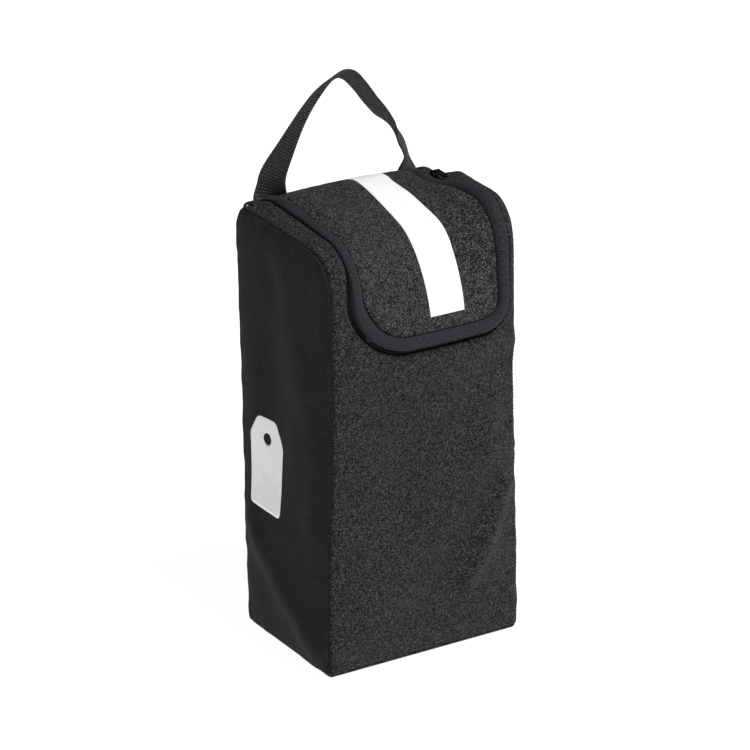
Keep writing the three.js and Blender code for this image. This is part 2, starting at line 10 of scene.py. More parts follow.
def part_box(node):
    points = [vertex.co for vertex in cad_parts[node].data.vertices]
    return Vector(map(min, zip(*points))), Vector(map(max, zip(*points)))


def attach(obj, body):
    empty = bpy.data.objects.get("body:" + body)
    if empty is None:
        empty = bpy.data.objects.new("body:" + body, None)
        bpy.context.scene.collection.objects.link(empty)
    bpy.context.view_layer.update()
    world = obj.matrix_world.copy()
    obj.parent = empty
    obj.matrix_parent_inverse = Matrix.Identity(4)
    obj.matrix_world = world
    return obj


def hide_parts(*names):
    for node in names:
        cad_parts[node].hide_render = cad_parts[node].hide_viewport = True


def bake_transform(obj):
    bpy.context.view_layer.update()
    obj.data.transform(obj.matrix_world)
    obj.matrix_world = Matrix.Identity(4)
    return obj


# A zipped shoe bag: cloth panels, a hood-shaped lid, a zip and a webbing handle.
# Lengths are in millimetres in the bag's own frame: x across, y from front to back, z up.
# A distance s runs round the bag's side outline, from the middle of the base over the front, the
# top and the back. A height n is out of the cloth.
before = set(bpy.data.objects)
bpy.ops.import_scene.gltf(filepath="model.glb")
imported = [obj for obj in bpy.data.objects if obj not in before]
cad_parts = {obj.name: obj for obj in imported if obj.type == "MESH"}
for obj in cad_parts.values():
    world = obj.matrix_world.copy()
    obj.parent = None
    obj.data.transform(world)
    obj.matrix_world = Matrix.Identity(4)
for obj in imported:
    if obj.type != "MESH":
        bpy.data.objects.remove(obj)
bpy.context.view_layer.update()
MM = 0.001

# ---- driving dimensions, as in the CAD model, with the cloth's fullness added ----
HALF_WIDTH = -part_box("side_panel_left")[0].x / MM + 1.8
WAIST, WAIST_FROM, WAIST_TO, REAR_SPREAD = 5.4, 40, 240, 4.6
FRONT_Y = {"base": -67.4, "top": -67.7}
REAR_Y = {"base": 66.2, "top": 77}
TOP_Z = {"front": 361, "rear": 370.5}
BASE_RADIUS, FRONT_TOP_RADIUS, REAR_TOP_RADIUS = 5, 35, 18
PUFF = {"front": 7, "top": 8, "back": 6}
PUFF_END_Y = 46
GAP = 0.4
SEAM_RISE = 1
LID_HALF, LID_BOTTOM_Z, LID_REAR_GAP = 74.5, 275, 3.8
LEFT_CORNER, RIGHT_CORNER = 54, 26
CUT_OUT, CUT_OUT_CLOSED = 3.4, 0.2  # its gap to the lid's edge, at the front and along the top
CROWN_SINKS = 20  # how far the lid's front top corner sinks in the middle
SHOULDER_LIFT = 15  # how far the bag's right shoulder stands up
RIGHT_DRIFT = 8  # how far the lid's right edge sits out over the front
BINDING_WIDTH = 12
CREASE_LIFT, HANDLE_AXIS, HANDLE_SPAN = 0.7, 9, 64  # the axis is that high above the crease
HANDLE_WIDTH, HANDLE_THICK = 30, 1.6
HANDLE_RISE = [
    (5.4, 0), (7, 12.5), (20, 35), (37, 60.5), (52, 77), (65, 86), (74, 87),
    (83, 82), (99.5, 62.2), (114.6, 42.3), (126, 26), (133.2, 12), (133, 0),
]  # from the left sewn end: distance to the right, height above the bending line
HANDLE_TURN = [
    (-0.06, 0), (-0.03, 32), (0, 60), (0.045, 75), (0.09, 84), (0.15, 93), (0.2, 99.5),
    (0.27, 106.5), (0.34, 111), (0.4, 114), (0.45, 118), (0.5, 122), (0.56, 104), (0.64, 97),
    (0.72, 97), (0.79, 90), (0.86, 64), (0.91, 60), (0.96, 54), (1, 38), (1.05, 8),
]  # share of the loop from its left end, and how far the strap's face has turned from the front, in degrees

# ---- dimensions of the cloth ----
PITCH = 3.4  # of the lattice that is simulated; it is halved afterwards
SKIN = 1.6  # cloth, foam and lining
SEAM_ROLL = 2.3  # radius of the cloth where it turns into a side seam
EDGE_ROLL = 1.3  # and where it turns under at any other edge


def smooth(v, start, end):
    """0 before start, 1 after end, and an even rise between them."""
    t = np.clip((np.asarray(v, float) - start) / (end - start), 0, 1)
    return t * t * (3 - 2 * t)


def unit(v):
    return v / np.linalg.norm(v, axis=-1, keepdims=True)


# ---- the bag's side outline ----
class Outline:
    """A closed path of lines and rounded corners in (y, z), from the middle of the base."""

    def __init__(self, corners):
        self.parts, self.marks = [], []
        sharp = [np.zeros(2), *[np.array(c, float) for c, _ in corners], np.zeros(2)]
        here, travelled = sharp[0], 0.0
        for before, corner, after, (_, radius) in zip(sharp, sharp[1:], sharp[2:], corners):
            back, on = unit(before - corner), unit(after - corner)
            half = math.acos(back @ on) / 2
            start, end = [corner + way * radius / math.tan(half) for way in (back, on)]
            middle = corner + unit(back + on) * radius / math.sin(half)
            self.parts.append((travelled, here, unit(start - here), None))
            travelled += np.linalg.norm(start - here)
            angle = math.atan2(*(start - middle)[::-1])
            self.parts.append((travelled, middle, angle, radius))
            self.marks += [travelled, travelled + radius * (math.pi - 2 * half)]
            here, travelled = end, self.marks[-1]
        self.parts.append((travelled, here, unit(sharp[-1] - here), None))
        self.length = travelled + np.linalg.norm(here)

    def at(self, s):
        """The points and directions at distances s."""
        s = np.mod(np.asarray(s, float), self.length)
        point, along = np.zeros((*s.shape, 2)), np.zeros((*s.shape, 2))
        for i, (start, place, way, radius) in enumerate(self.parts):
            end = self.parts[i + 1][0] if i + 1 < len(self.parts) else self.length + 1
            on = (s >= start) & (s < end)
            if radius is None:
                point[on] = place + np.outer(s[on] - start, way)
                along[on] = way
            else:
                angle = way - (s[on] - start) / radius
                point[on] = place + radius * np.stack([np.cos(angle), np.sin(angle)], -1)
                along[on] = np.stack([np.sin(angle), -np.cos(angle)], -1)
        return point, along


outline = Outline([
    ((FRONT_Y["base"], 0), BASE_RADIUS),
    ((FRONT_Y["top"], TOP_Z["front"]), FRONT_TOP_RADIUS),
    ((REAR_Y["top"], TOP_Z["rear"]), REAR_TOP_RADIUS),
    ((REAR_Y["base"], 0), BASE_RADIUS),
])
S_FRONT_TURN, S_FRONT, S_FRONT_TOP, S_TOP, S_TOP_REAR, S_BACK, S_BACK_END, S_BASE_REAR = outline.marks
S_HINGE = (S_TOP_REAR + S_BACK) / 2


def front_at(z):
    return S_FRONT + z - BASE_RADIUS


def top_at(y):
    return S_TOP_REAR - (REAR_Y["top"] - REAR_TOP_RADIUS - y)


LID_BOTTOM = front_at(LID_BOTTOM_Z)


def puff(s):
    """How far the middle of the cloth stands out."""
    front = PUFF["front"] * smooth(s, S_FRONT, S_FRONT + 90)
    top = (PUFF["top"] - PUFF["front"]) * smooth(s, S_FRONT_TOP - 60, S_TOP)
    to_hinge = 1 - smooth(s, top_at(PUFF_END_Y), S_HINGE)
    back = PUFF["back"] * smooth(s, S_HINGE, S_HINGE + 120) * (1 - smooth(s, S_BACK_END - 90, S_BACK_END))
    out = np.where(s < S_HINGE, (front + top) * to_hinge, back)
    return np.where((s < S_FRONT) | (s > S_BACK_END), 0, out)


def width_scale(y, z):
    """The sides draw in above the waist, less at the rear."""
    up = smooth(z, WAIST_FROM, WAIST_TO)
    rear = np.clip((y - FRONT_Y["top"]) / (REAR_Y["top"] - FRONT_Y["top"]), 0, 1)
    return 1 - up * (WAIST - REAR_SPREAD * rear) / HALF_WIDTH


def crown(s):
    """Where round the outline the lid's front top corner sinks in."""
    middle = (S_FRONT_TOP + S_TOP) / 2 - 4
    return smooth(s, middle - 62, middle) * (1 - smooth(s, middle, middle + 110))


def drift(x, s):
    """How far the lid's right edge, and the cloth beside it, sit further out."""
    across = smooth(x, 15, 70) * (1 - smooth(x, 74, HALF_WIDTH))
    up = smooth(s, LID_BOTTOM - 50, LID_BOTTOM - 5)
    return RIGHT_DRIFT * across * up * (1 - smooth(s, S_TOP - 10, top_at(10)))


def shouldered(points):
    """Points with the right shoulder lifted: there the zip and its cloth stand up."""
    x, y, z = np.moveaxis(points, -1, 0)
    rear = 32 + 24 * smooth(x, 75, 86)
    lift = smooth(x, 20, 84) * smooth(z, 300, 352) * (1 - smooth(y, rear - 50, rear))
    return np.stack([x, y, z + SHOULDER_LIFT * lift], -1)


def wrap(x, s, n):
    """Points at x across the bag, s round the outline and n out of the cloth."""
    x, s, n = np.broadcast_arrays(np.asarray(x, float), s, n)
    at, along = outline.at(s)
    middle = np.maximum(1 - (x / HALF_WIDTH) ** 2, 0)
    sinking = CROWN_SINKS * crown(s) * middle**1.5 * (1 - 0.6 * smooth(x, 45, 75))
    out = n + puff(s) * middle - sinking
    y = at[..., 0] - along[..., 1] * out
    z = at[..., 1] + along[..., 0] * out
    return shouldered(np.stack([(x + drift(x, s)) * width_scale(at[..., 0], at[..., 1]), y, z], -1))


def lid_edge(x, s):
    """Distance outwards from the lid's edge, and distance along it from the middle of its bottom."""
    radius = np.where(x < 0, LEFT_CORNER, RIGHT_CORNER)
    bottom = LID_HALF - radius
    across, up = np.abs(x) - bottom, LID_BOTTOM + radius - s
    corner = (across > 0) & (up > 0)
    angle = np.arctan2(np.maximum(across, 0), np.maximum(up, 1e-9))
    out = np.where(corner, np.hypot(across, up), np.maximum(across, up)) - radius
    turned = bottom + radius * angle
    straight = np.where(across > 0, bottom + radius * math.pi / 2 - up, np.abs(x))
    return out, np.sign(x) * np.where(corner, turned, straight)


# ---- small random fields, the same on each run ----
NOISE_CELLS = 97  # the noise repeats after that many cells


def value_noise(u, v, seed):
    """Smooth noise from -1 to 1 with cells one unit wide."""
    grid = np.random.RandomState(seed).uniform(-1, 1, (NOISE_CELLS, NOISE_CELLS))
    i, j = np.floor(u).astype(int), np.floor(v).astype(int)
    fu, fv = smooth(u - i, 0, 1), smooth(v - j, 0, 1)
    pick = lambda a, b: grid[(i + a) % NOISE_CELLS, (j + b) % NOISE_CELLS]
    near = pick(0, 0) * (1 - fu) + pick(1, 0) * fu
    far = pick(0, 1) * (1 - fu) + pick(1, 1) * fu
    return near * (1 - fv) + far * fv


def fold(u, v, start, end, width, height):
    """A ridge along a line, or with a negative height a furrow, that fades out at both ends."""
    start, way = np.array(start, float), np.array(end, float) - start
    t = ((u - start[0]) * way[0] + (v - start[1]) * way[1]) / (way @ way)
    off = ((u - start[0]) * way[1] - (v - start[1]) * way[0]) / np.linalg.norm(way)
    past = (t - np.clip(t, 0.15, 0.85)) * np.linalg.norm(way)
    return height * np.exp(-((off / width) ** 2) - (past / (1.3 * width)) ** 2)


def folded(u, v, folds):
    """The sum of several folds."""
    return sum(fold(u, v, *one) for one in folds)


def gathers(along, depth, seed, length=13):
    """Puckers beside a seam: ripples along it that fade with the distance from it."""
    coarse = value_noise(along / length, depth / (3 * length), seed)
    fine = value_noise(along / (0.45 * length), depth / (2 * length), seed + 1)
    return (coarse + 0.5 * fine) * np.exp(-np.maximum(depth, 0) / length)


# ---- meshes ----
def lattice(rows, columns, ring=False):
    """Quads between the points of a grid. With ring, the last column joins the first."""
    at = np.arange(rows * columns).reshape(rows, columns)
    if ring:
        at = np.hstack([at, at[:, :1]])
    return np.stack([at[:-1, :-1], at[:-1, 1:], at[1:, 1:], at[1:, :-1]], -1).reshape(-1, 4)


def made(name, points, faces, flat, out):
    """A smooth mesh object from points in millimetres, with its flat coordinates as its UV map, in metres.
    Its faces look the way of out, a direction for each point."""
    mesh = bpy.data.meshes.new(name)
    mesh.from_pydata((points * MM).tolist(), [], np.asarray(faces).tolist())
    even = bmesh.new()
    even.from_mesh(mesh)
    bmesh.ops.recalc_face_normals(even, faces=even.faces[:])
    even.to_mesh(mesh)
    even.free()
    normal = np.zeros(len(mesh.polygons) * 3, np.float32)
    mesh.polygons.foreach_get("normal", normal)
    first = np.array([p.vertices[0] for p in mesh.polygons])
    if (normal.reshape(-1, 3) * out[first]).sum() < 0:
        mesh.flip_normals()
    corners = np.zeros(len(mesh.loops), np.int32)
    mesh.loops.foreach_get("vertex_index", corners)
    layer = mesh.uv_layers.new(name="Cloth")
    layer.data.foreach_set("uv", (flat[corners] * MM).astype(np.float32).ravel())
    mesh.polygons.foreach_set("use_smooth", np.ones(len(mesh.polygons), bool))
    piece = bpy.data.objects.new(name, mesh)
    bpy.context.scene.collection.objects.link(piece)
    return piece


def places(piece):
    at = np.zeros(len(piece.data.vertices) * 3, np.float32)
    piece.data.vertices.foreach_get("co", at)
    return at.reshape(-1, 3).astype(float)


def put(piece, at):
    piece.data.vertices.foreach_set("co", at.astype(np.float32).ravel())
    piece.data.update()


def flat_of(piece):
    """The flat coordinates of each vertex, in millimetres."""
    mesh = piece.data
    corners = np.zeros(len(mesh.loops), np.int32)
    mesh.loops.foreach_get("vertex_index", corners)
    uv = np.zeros(len(corners) * 2, np.float32)
    mesh.uv_layers[0].data.foreach_get("uv", uv)
    flat = np.zeros((len(mesh.vertices), 2))
    flat[corners] = uv.reshape(-1, 2)
    return flat / MM


def normals(piece):
    at = np.zeros(len(piece.data.vertices) * 3, np.float32)
    piece.data.vertex_normals.foreach_get("vector", at)
    return at.reshape(-1, 3).astype(float)


def halved(piece):
    """Subdivides the piece's mesh once, smoothly."""
    modifier = piece.modifiers.new("Subdivision", "SUBSURF")
    modifier.levels = 1
    modifier.boundary_smooth = "PRESERVE_CORNERS"
    shown = piece.evaluated_get(bpy.context.evaluated_depsgraph_get())
    mesh = bpy.data.meshes.new_from_object(shown)
    piece.modifiers.clear()
    piece.data = mesh
    return piece


def raised(piece, field):
    """Moves each point out of the cloth by what field gives for its flat coordinates."""
    flat = flat_of(piece)
    put(piece, places(piece) + normals(piece) * (field(flat[:, 0], flat[:, 1]) * MM)[:, None])
    return piece


def thick(piece, thickness, inner_material=None):
    """Gives a sheet its thickness, inwards, and its inside a material of its own."""
    modifier = piece.modifiers.new("Thickness", "SOLIDIFY")
    modifier.thickness = thickness * MM
    modifier.offset = -1
    if inner_material is not None:
        piece.data.materials.append(inner_material)
        modifier.material_offset = 1
    return piece


SETTLE_FRAMES = 16


def settle(piece, sewn, pull, slack, cap):
    """Cloth simulation of a panel that is held at its sewn points. The cloth is larger than its outline by
    the share slack, pull draws it outwards, and no point moves more than cap."""
    scene = bpy.context.scene
    before, gravity = places(piece), scene.gravity.copy()
    piece.vertex_groups.new(name="sewn").add(np.flatnonzero(sewn).tolist(), 1.0, "REPLACE")
    cloth = piece.modifiers.new("Cloth", "CLOTH")
    settings = cloth.settings
    settings.quality = 5
    settings.mass = 0.15
    settings.tension_stiffness = settings.compression_stiffness = 12
    settings.shear_stiffness = 5
    settings.bending_stiffness = 0.6
    settings.air_damping = 4
    settings.vertex_group_mass = "sewn"
    settings.shrink_min = -slack
    cloth.collision_settings.use_collision = False
    cloth.point_cache.frame_end = SETTLE_FRAMES
    scene.gravity = pull
    for number in range(1, SETTLE_FRAMES + 1):
        scene.frame_set(number)
    shown = piece.evaluated_get(bpy.context.evaluated_depsgraph_get())
    after = np.array([v.co for v in shown.data.vertices])
    piece.modifiers.clear()
    piece.vertex_groups.clear()
    scene.gravity = gravity
    scene.frame_set(1)
    moved = after - before
    far = np.linalg.norm(moved, axis=1, keepdims=True) / (cap * MM)
    put(piece, before + moved * np.tanh(far) / np.maximum(far, 1e-6))
    return piece


def between(start, end, pitch):
    """Evenly spaced numbers from start to end, about pitch apart."""
    return np.linspace(start, end, max(1, round(abs(end - start) / pitch)) + 1)


def merged(table, faces):
    """Joins points that share their flat coordinates, the table's first two columns."""
    _, first, inverse = np.unique(np.round(table[:, :2], 3), axis=0, return_index=True, return_inverse=True)
    return table[first], inverse.reshape(-1)[faces]


def both_halves(half):
    """A flat layout, points and faces, from half, which gives the left half for a corner's radius. Each
    point has its cloth x, cloth s and depth."""
    left, left_faces = half(LEFT_CORNER)
    right, right_faces = half(RIGHT_CORNER)
    return merged(np.vstack([left, right * [-1, 1, 1]]), np.vstack([left_faces, right_faces + len(left)]))


# ---- cloth that turns into its seams ----
ROLL_TURN = 0.75 * math.pi
ROLL_START = HALF_WIDTH - SEAM_ROLL * (1 + math.sqrt(2))
CLOTH_HALF = ROLL_START + SEAM_ROLL * ROLL_TURN
SEAM_STEPS = SEAM_ROLL * np.linspace(0, ROLL_TURN, 7)  # distances from a side seam, along the cloth


def into_side_seam(c):
    """Where cloth at c from the bag's middle lies: x, and how deep it has turned in."""
    angle = np.clip((np.abs(c) - ROLL_START) / SEAM_ROLL, 0, ROLL_TURN)
    x = np.sign(c) * (np.minimum(np.abs(c), ROLL_START) + SEAM_ROLL * np.sin(angle))
    return x, SEAM_ROLL * (1 - np.cos(angle))


def turned_edge(radius):
    """Distances in from an edge and depths of cloth that turns under there, in four steps."""
    angle = np.linspace(math.pi / 2, 0, 5)
    return radius * (1 - np.sin(angle)), radius * (1 - np.cos(angle))


def edge_depth(inset, radius):
    """How deep cloth lies at a distance in from an edge where it turns under."""
    return radius - np.sqrt(np.maximum(radius**2 - np.clip(radius - inset, 0, radius) ** 2, 0))


def u_rows(half, bottom, radius, xs, ss):
    """Rows that join a U-shaped edge to a rectangle, on the left: the edge's points, their outward
    directions and the rectangle's points. xs and ss start at the rectangle's corner."""
    xc, sc = -half + radius, bottom + radius
    edge, out, target = [], [], []

    def arc(angle, point):
        way = np.array([math.cos(angle), math.sin(angle)])
        edge.append(np.array([xc, sc]) + radius * way)
        out.append(way)
        target.append(point)

    for s in ss[::-1]:
        if s > sc:
            edge.append((-half, s))
            out.append((-1, 0))
            target.append((xs[0], s))
        else:
            arc(math.pi * (1 + 0.25 * (sc - s) / (sc - ss[0])), (xs[0], s))
    for x in xs[1:]:
        if x < xc:
            arc(math.pi * (1.5 - 0.25 * (xc - x) / (xc - xs[0])), (x, ss[0]))
        else:
            edge.append((x, bottom))
            out.append((0, -1))
            target.append((x, ss[0]))
    return np.array(edge, float), np.array(out, float), np.array(target, float)


def band_table(stops):
    """The lattice between rows of points: stops is a list of (points, depth) from one side to the other."""
    columns = [np.column_stack([p, np.broadcast_to(depth, len(p))]) for p, depth in stops]
    table = np.stack(columns, 1)
    return table.reshape(-1, 3), lattice(table.shape[0], table.shape[1])


def half_front(radius):
    """The front cloth's left half, flat: from the base seam up to the crease, round the lid's cut-out."""
    corner_s = LID_BOTTOM - CUT_OUT - 12
    xs = -np.concatenate([CLOTH_HALF - SEAM_STEPS, between(ROLL_START, 0, PITCH)[1:]])
    insets, depths = turned_edge(EDGE_ROLL)
    rest = between(corner_s + SEAM_STEPS[-1], S_HINGE - GAP, PITCH)[1:]
    ss = np.concatenate([corner_s + SEAM_STEPS, rest])
    edge, out, target = u_rows(LID_HALF + CUT_OUT, LID_BOTTOM - CUT_OUT, radius + CUT_OUT, xs, ss)
    xc, sc = -LID_HALF + radius, LID_BOTTOM + radius

    def ring(step):
        """The target rectangle, drawn in by step."""
        x, s = target.T
        shrink_s = corner_s + step + (s - corner_s) * (sc - corner_s - step) / (sc - corner_s)
        shrink_x = -CLOTH_HALF + step + (x + CLOTH_HALF) * (xc + CLOTH_HALF - step) / (xc + CLOTH_HALF)
        return np.column_stack([np.where(x < xc, shrink_x, x), np.where(s < sc, shrink_s, s)])

    closed = (CUT_OUT - CUT_OUT_CLOSED) * smooth(edge[:, 1], LID_BOTTOM + 30, S_FRONT_TOP + 40)
    edge = edge - out * closed[:, None]
    stops = [(edge + out * inset, depth) for inset, depth in zip(insets, depths)]
    start, end = stops[-1][0], ring(SEAM_STEPS[-1])
    stops += [(start + (end - start) * f, 0) for f in (1 / 3, 2 / 3)]
    stops += [(ring(step), 0) for step in SEAM_STEPS[::-1]]
    upper, upper_faces = band_table(stops)

    seam = S_FRONT - SEAM_RISE
    rows = np.concatenate([seam + insets, between(seam + EDGE_ROLL, corner_s, PITCH)[1:]])
    lower = np.array([(x, s, edge_depth(s - seam, EDGE_ROLL)) for s in rows for x in xs])
    lower_faces = lattice(len(rows), len(xs)) + len(upper)
    return merged(np.vstack([upper, lower]), np.vstack([upper_faces, lower_faces]))


def strip_layout(start, end):
    """A panel as wide as the bag between two seams round the outline, flat."""
    xs = np.concatenate([CLOTH_HALF - SEAM_STEPS, between(ROLL_START, 0, PITCH)[1:]])
    xs = np.concatenate([-xs, xs[-2::-1]])
    insets, _ = turned_edge(EDGE_ROLL)
    inner = between(start + EDGE_ROLL, end - EDGE_ROLL, PITCH)[1:-1]
    rows = np.concatenate([start + insets, inner, (end - insets)[::-1]])
    depth = [max(edge_depth(s - start, EDGE_ROLL), edge_depth(end - s, EDGE_ROLL)) for s in rows]
    table = np.array([(x, s, d) for s, d in zip(rows, depth) for x in xs])
    return table, lattice(len(rows), len(xs))


def wrapped_piece(name, table, faces):
    """Lays a flat cloth round the bag, with its sides turned into the side seams."""
    x, drop = into_side_seam(table[:, 0])
    n = -np.maximum(table[:, 2], drop)
    points = wrap(x, table[:, 1], n)
    out = wrap(x, table[:, 1], n + 1) - points
    return made(name, points, faces, table[:, :2], out)


def sewn_round(table, start, end):
    """Which points of a wrapped cloth are held by its seams."""
    c, s = np.abs(table[:, 0]), table[:, 1]
    return (c > ROLL_START - 1) | (s < start + 3) | (s > end - 3)


# ---- materials ----
def add(tree, kind, inputs=None, **settings):
    """A shader node, with its inputs given as values or as other nodes' outputs."""
    node = tree.nodes.new("ShaderNode" + kind)
    for name, value in settings.items():
        setattr(node, name, value)
    for socket, value in (inputs or {}).items():
        if isinstance(value, bpy.types.NodeSocket):
            tree.links.new(value, node.inputs[socket])
        else:
            node.inputs[socket].default_value = value
    return node


def calc(tree, operation, a, b=0.0):
    return add(tree, "Math", {0: a, 1: b}, operation=operation).outputs[0]


def blank(name, **constants):
    """A new material, its node tree and its main shader."""
    fresh = bpy.data.materials.new(name)
    fresh.use_nodes = True
    shader = fresh.node_tree.nodes["Principled BSDF"]
    for socket, value in constants.items():
        shader.inputs[socket.replace("_", " ")].default_value = value
    return fresh, fresh.node_tree, shader


def noise(tree, place, scale, detail=2.0, rough=0.5):
    settings = {"Vector": place, "Scale": scale, "Detail": detail, "Roughness": rough}
    return add(tree, "TexNoise", settings).outputs[0]


def ranged(tree, value, start, end, low, high, **settings):
    """Maps start to end onto low to high."""
    return add(tree, "MapRange", {0: value, 1: start, 2: end, 3: low, 4: high}, **settings).outputs[0]


def tinted(tree, share, dark, light):
    return add(tree, "Mix", {0: share, 6: (*dark, 1), 7: (*light, 1)}, data_type="RGBA").outputs[2]


def finished(tree, shader, colour, rough, height, strength, depth):
    """Joins colour, roughness and a relief of the given depth, in millimetres, to the main shader."""
    tree.links.new(colour, shader.inputs["Base Color"])
    tree.links.new(rough, shader.inputs["Roughness"])
    bump = add(tree, "Bump", {"Strength": strength, "Distance": depth * MM, "Height": height})
    tree.links.new(bump.outputs[0], shader.inputs["Normal"])


def yarn_place(tree, warp, weft, turn=0.0):
    """Counts of warp and weft yarns, from the flat coordinates."""
    at = add(tree, "UVMap", uv_map="Cloth").outputs[0]
    scale = (1 / warp / MM, 1 / weft / MM, 1)
    turned = add(tree, "Mapping", {"Vector": at, "Rotation": (0, 0, turn), "Scale": scale})
    split = add(tree, "SeparateXYZ", {0: turned.outputs[0]})
    return turned.outputs[0], split.outputs[0], split.outputs[1]


def hump(tree, count, power):
    """A rounded ridge across each yarn."""
    wave = calc(tree, "ABSOLUTE", calc(tree, "SINE", calc(tree, "MULTIPLY", count, math.pi)))
    return calc(tree, "POWER", wave, power)


def plain_weave(tree, u, v):
    """Height of a plain weave, and 1 where the warp lies on top."""
    cells = add(tree, "CombineXYZ", {0: u, 1: v, 2: 0.5}).outputs[0]
    over = add(tree, "TexChecker", {"Vector": cells, "Scale": 1.0}).outputs[1]
    warp = calc(tree, "MULTIPLY", hump(tree, u, 0.9), hump(tree, v, 0.35))
    weft = calc(tree, "MULTIPLY", hump(tree, v, 0.9), hump(tree, u, 0.35))
    height = add(tree, "Mix", {0: over, 2: weft, 3: warp}).outputs[0]
    return height, over


def woven(
    name, dark, light, warp=0.55, weft=0.55, fleck=0.95, depth=0.16, rough=0.82, sheen=0.03, turn=0.0
):
    """Plain-woven cloth whose yarns differ a little in colour, with brighter flecks."""
    fresh, tree, shader = blank(name, Sheen_Weight=sheen, Sheen_Roughness=0.45, Specular_IOR_Level=0.15)
    place, u, v = yarn_place(tree, warp, weft, turn)
    height, over = plain_weave(tree, u, v)
    flecks = []
    for along in ((0.7, 0.5, 1), (0.5, 0.7, 1)):
        cells = add(tree, "Mapping", {"Vector": place, "Scale": along}).outputs[0]
        cell = add(tree, "VectorMath", {0: cells}, operation="FLOOR").outputs[0]
        flecks.append(add(tree, "TexWhiteNoise", {"Vector": cell}, noise_dimensions="2D").outputs[0])
    yarn = add(tree, "Mix", {0: over, 2: flecks[1], 3: flecks[0]}).outputs[0]
    cloudy = noise(tree, place, 0.4, rough=0.6)
    mixed = add(tree, "Mix", {0: fleck, 2: cloudy, 3: yarn}).outputs[0]
    lit = calc(tree, "POWER", mixed, 3.4)
    # Painted shade: the colour darkens into the hollows of the weave, down to 0.3 of its share between the
    # yarns.
    shade = calc(tree, "MULTIPLY", lit, calc(tree, "ADD", calc(tree, "MULTIPLY", height, 0.7), 0.3))
    matt = calc(tree, "SUBTRACT", rough + 0.06, calc(tree, "MULTIPLY", lit, 0.12))
    finished(tree, shader, tinted(tree, shade, dark, light), matt, height, 0.7, depth)
    return fresh


def ribbed(name, dark, light, pitch, stitch, depth=0.2):
    """Ribbed tape or webbing: ribs across its length, broken up by the yarns that run along it."""
    fresh, tree, shader = blank(name, Sheen_Weight=0.04, Sheen_Roughness=0.4, Specular_IOR_Level=0.2)
    place, u, v = yarn_place(tree, stitch, pitch)
    rib = hump(tree, v, 0.8)
    shifted = calc(tree, "ADD", u, calc(tree, "MULTIPLY", calc(tree, "FLOOR", v), 0.5))
    bead = hump(tree, shifted, 0.5)
    height = calc(tree, "MULTIPLY", rib, calc(tree, "ADD", calc(tree, "MULTIPLY", bead, 0.5), 0.5))
    lit = ranged(tree, noise(tree, place, 0.7, rough=0.6), 0.35, 0.75, 0.25, 1.0)
    # Painted shade: the colour falls to the dark one in the hollows between the ribs and between the beads.
    shade = calc(tree, "MULTIPLY", lit, height)
    matt = calc(tree, "SUBTRACT", 0.9, calc(tree, "MULTIPLY", shade, 0.2))
    finished(tree, shader, tinted(tree, shade, dark, light), matt, height, 0.8, depth)
    return fresh


def knitted(name, dark, light, pitch):
    """Knitted mesh: staggered round holes in a fine knit."""
    fresh, tree, shader = blank(name, Sheen_Weight=0.1, Sheen_Roughness=0.5, Specular_IOR_Level=0.3)
    place, u, v = yarn_place(tree, pitch, pitch * 0.87)
    shift = calc(tree, "ADD", u, calc(tree, "MULTIPLY", calc(tree, "FLOOR", v), 0.5))
    du, dv = [calc(tree, "SUBTRACT", calc(tree, "FRACT", count), 0.5) for count in (shift, v)]
    du2, dv2 = [calc(tree, "MULTIPLY", off, off) for off in (du, dv)]
    far = calc(tree, "SQRT", calc(tree, "ADD", du2, dv2))
    solid = ranged(tree, far, 0.2, 0.36, 0.0, 1.0, interpolation_type="SMOOTHSTEP")
    # The holes take the dark colour: partly the bag's dark inside seen through them, partly painted shade
    # in them.
    shade = calc(tree, "MULTIPLY", solid, noise(tree, place, 2.4))
    matt = calc(tree, "SUBTRACT", 0.95, calc(tree, "MULTIPLY", solid, 0.12))
    finished(tree, shader, tinted(tree, shade, dark, light), matt, solid, 0.9, 0.4)
    return fresh


def hard(name, colour, metallic, rough, grain):
    """Metal or plastic with fine wear in its gloss and colour."""
    fresh, tree, shader = blank(name, Metallic=metallic)
    grains = noise(tree, add(tree, "TexCoord").outputs["Object"], grain, 4.0, 0.6)
    worn = ranged(tree, grains, 0.3, 0.8, 0.7, 1.5)
    tint = add(tree, "VectorMath", {0: colour, 3: worn}, operation="SCALE").outputs[0]
    finished(tree, shader, tint, calc(tree, "MULTIPLY", worn, rough), grains, 0.3, 0.05)
    return fresh


def printed(name, colour):
    """Screen print: an even film through which the weave shows faintly."""
    fresh, tree, shader = blank(name, Specular_IOR_Level=0.4)
    place, u, v = yarn_place(tree, 0.55, 0.55)
    height, _ = plain_weave(tree, u, v)
    worn = ranged(tree, noise(tree, place, 0.05, 3.0), 0.3, 0.7, 0.97, 1.03)
    # Painted shade: the print is up to 5% darker in the hollows of the weave beneath it.
    shade = calc(tree, "MULTIPLY", worn, calc(tree, "ADD", calc(tree, "MULTIPLY", height, 0.06), 0.95))
    tint = add(tree, "VectorMath", {0: colour, 3: shade}, operation="SCALE").outputs[0]
    finished(tree, shader, tint, calc(tree, "MULTIPLY", worn, 0.55), height, 0.35, 0.1)
    return fresh


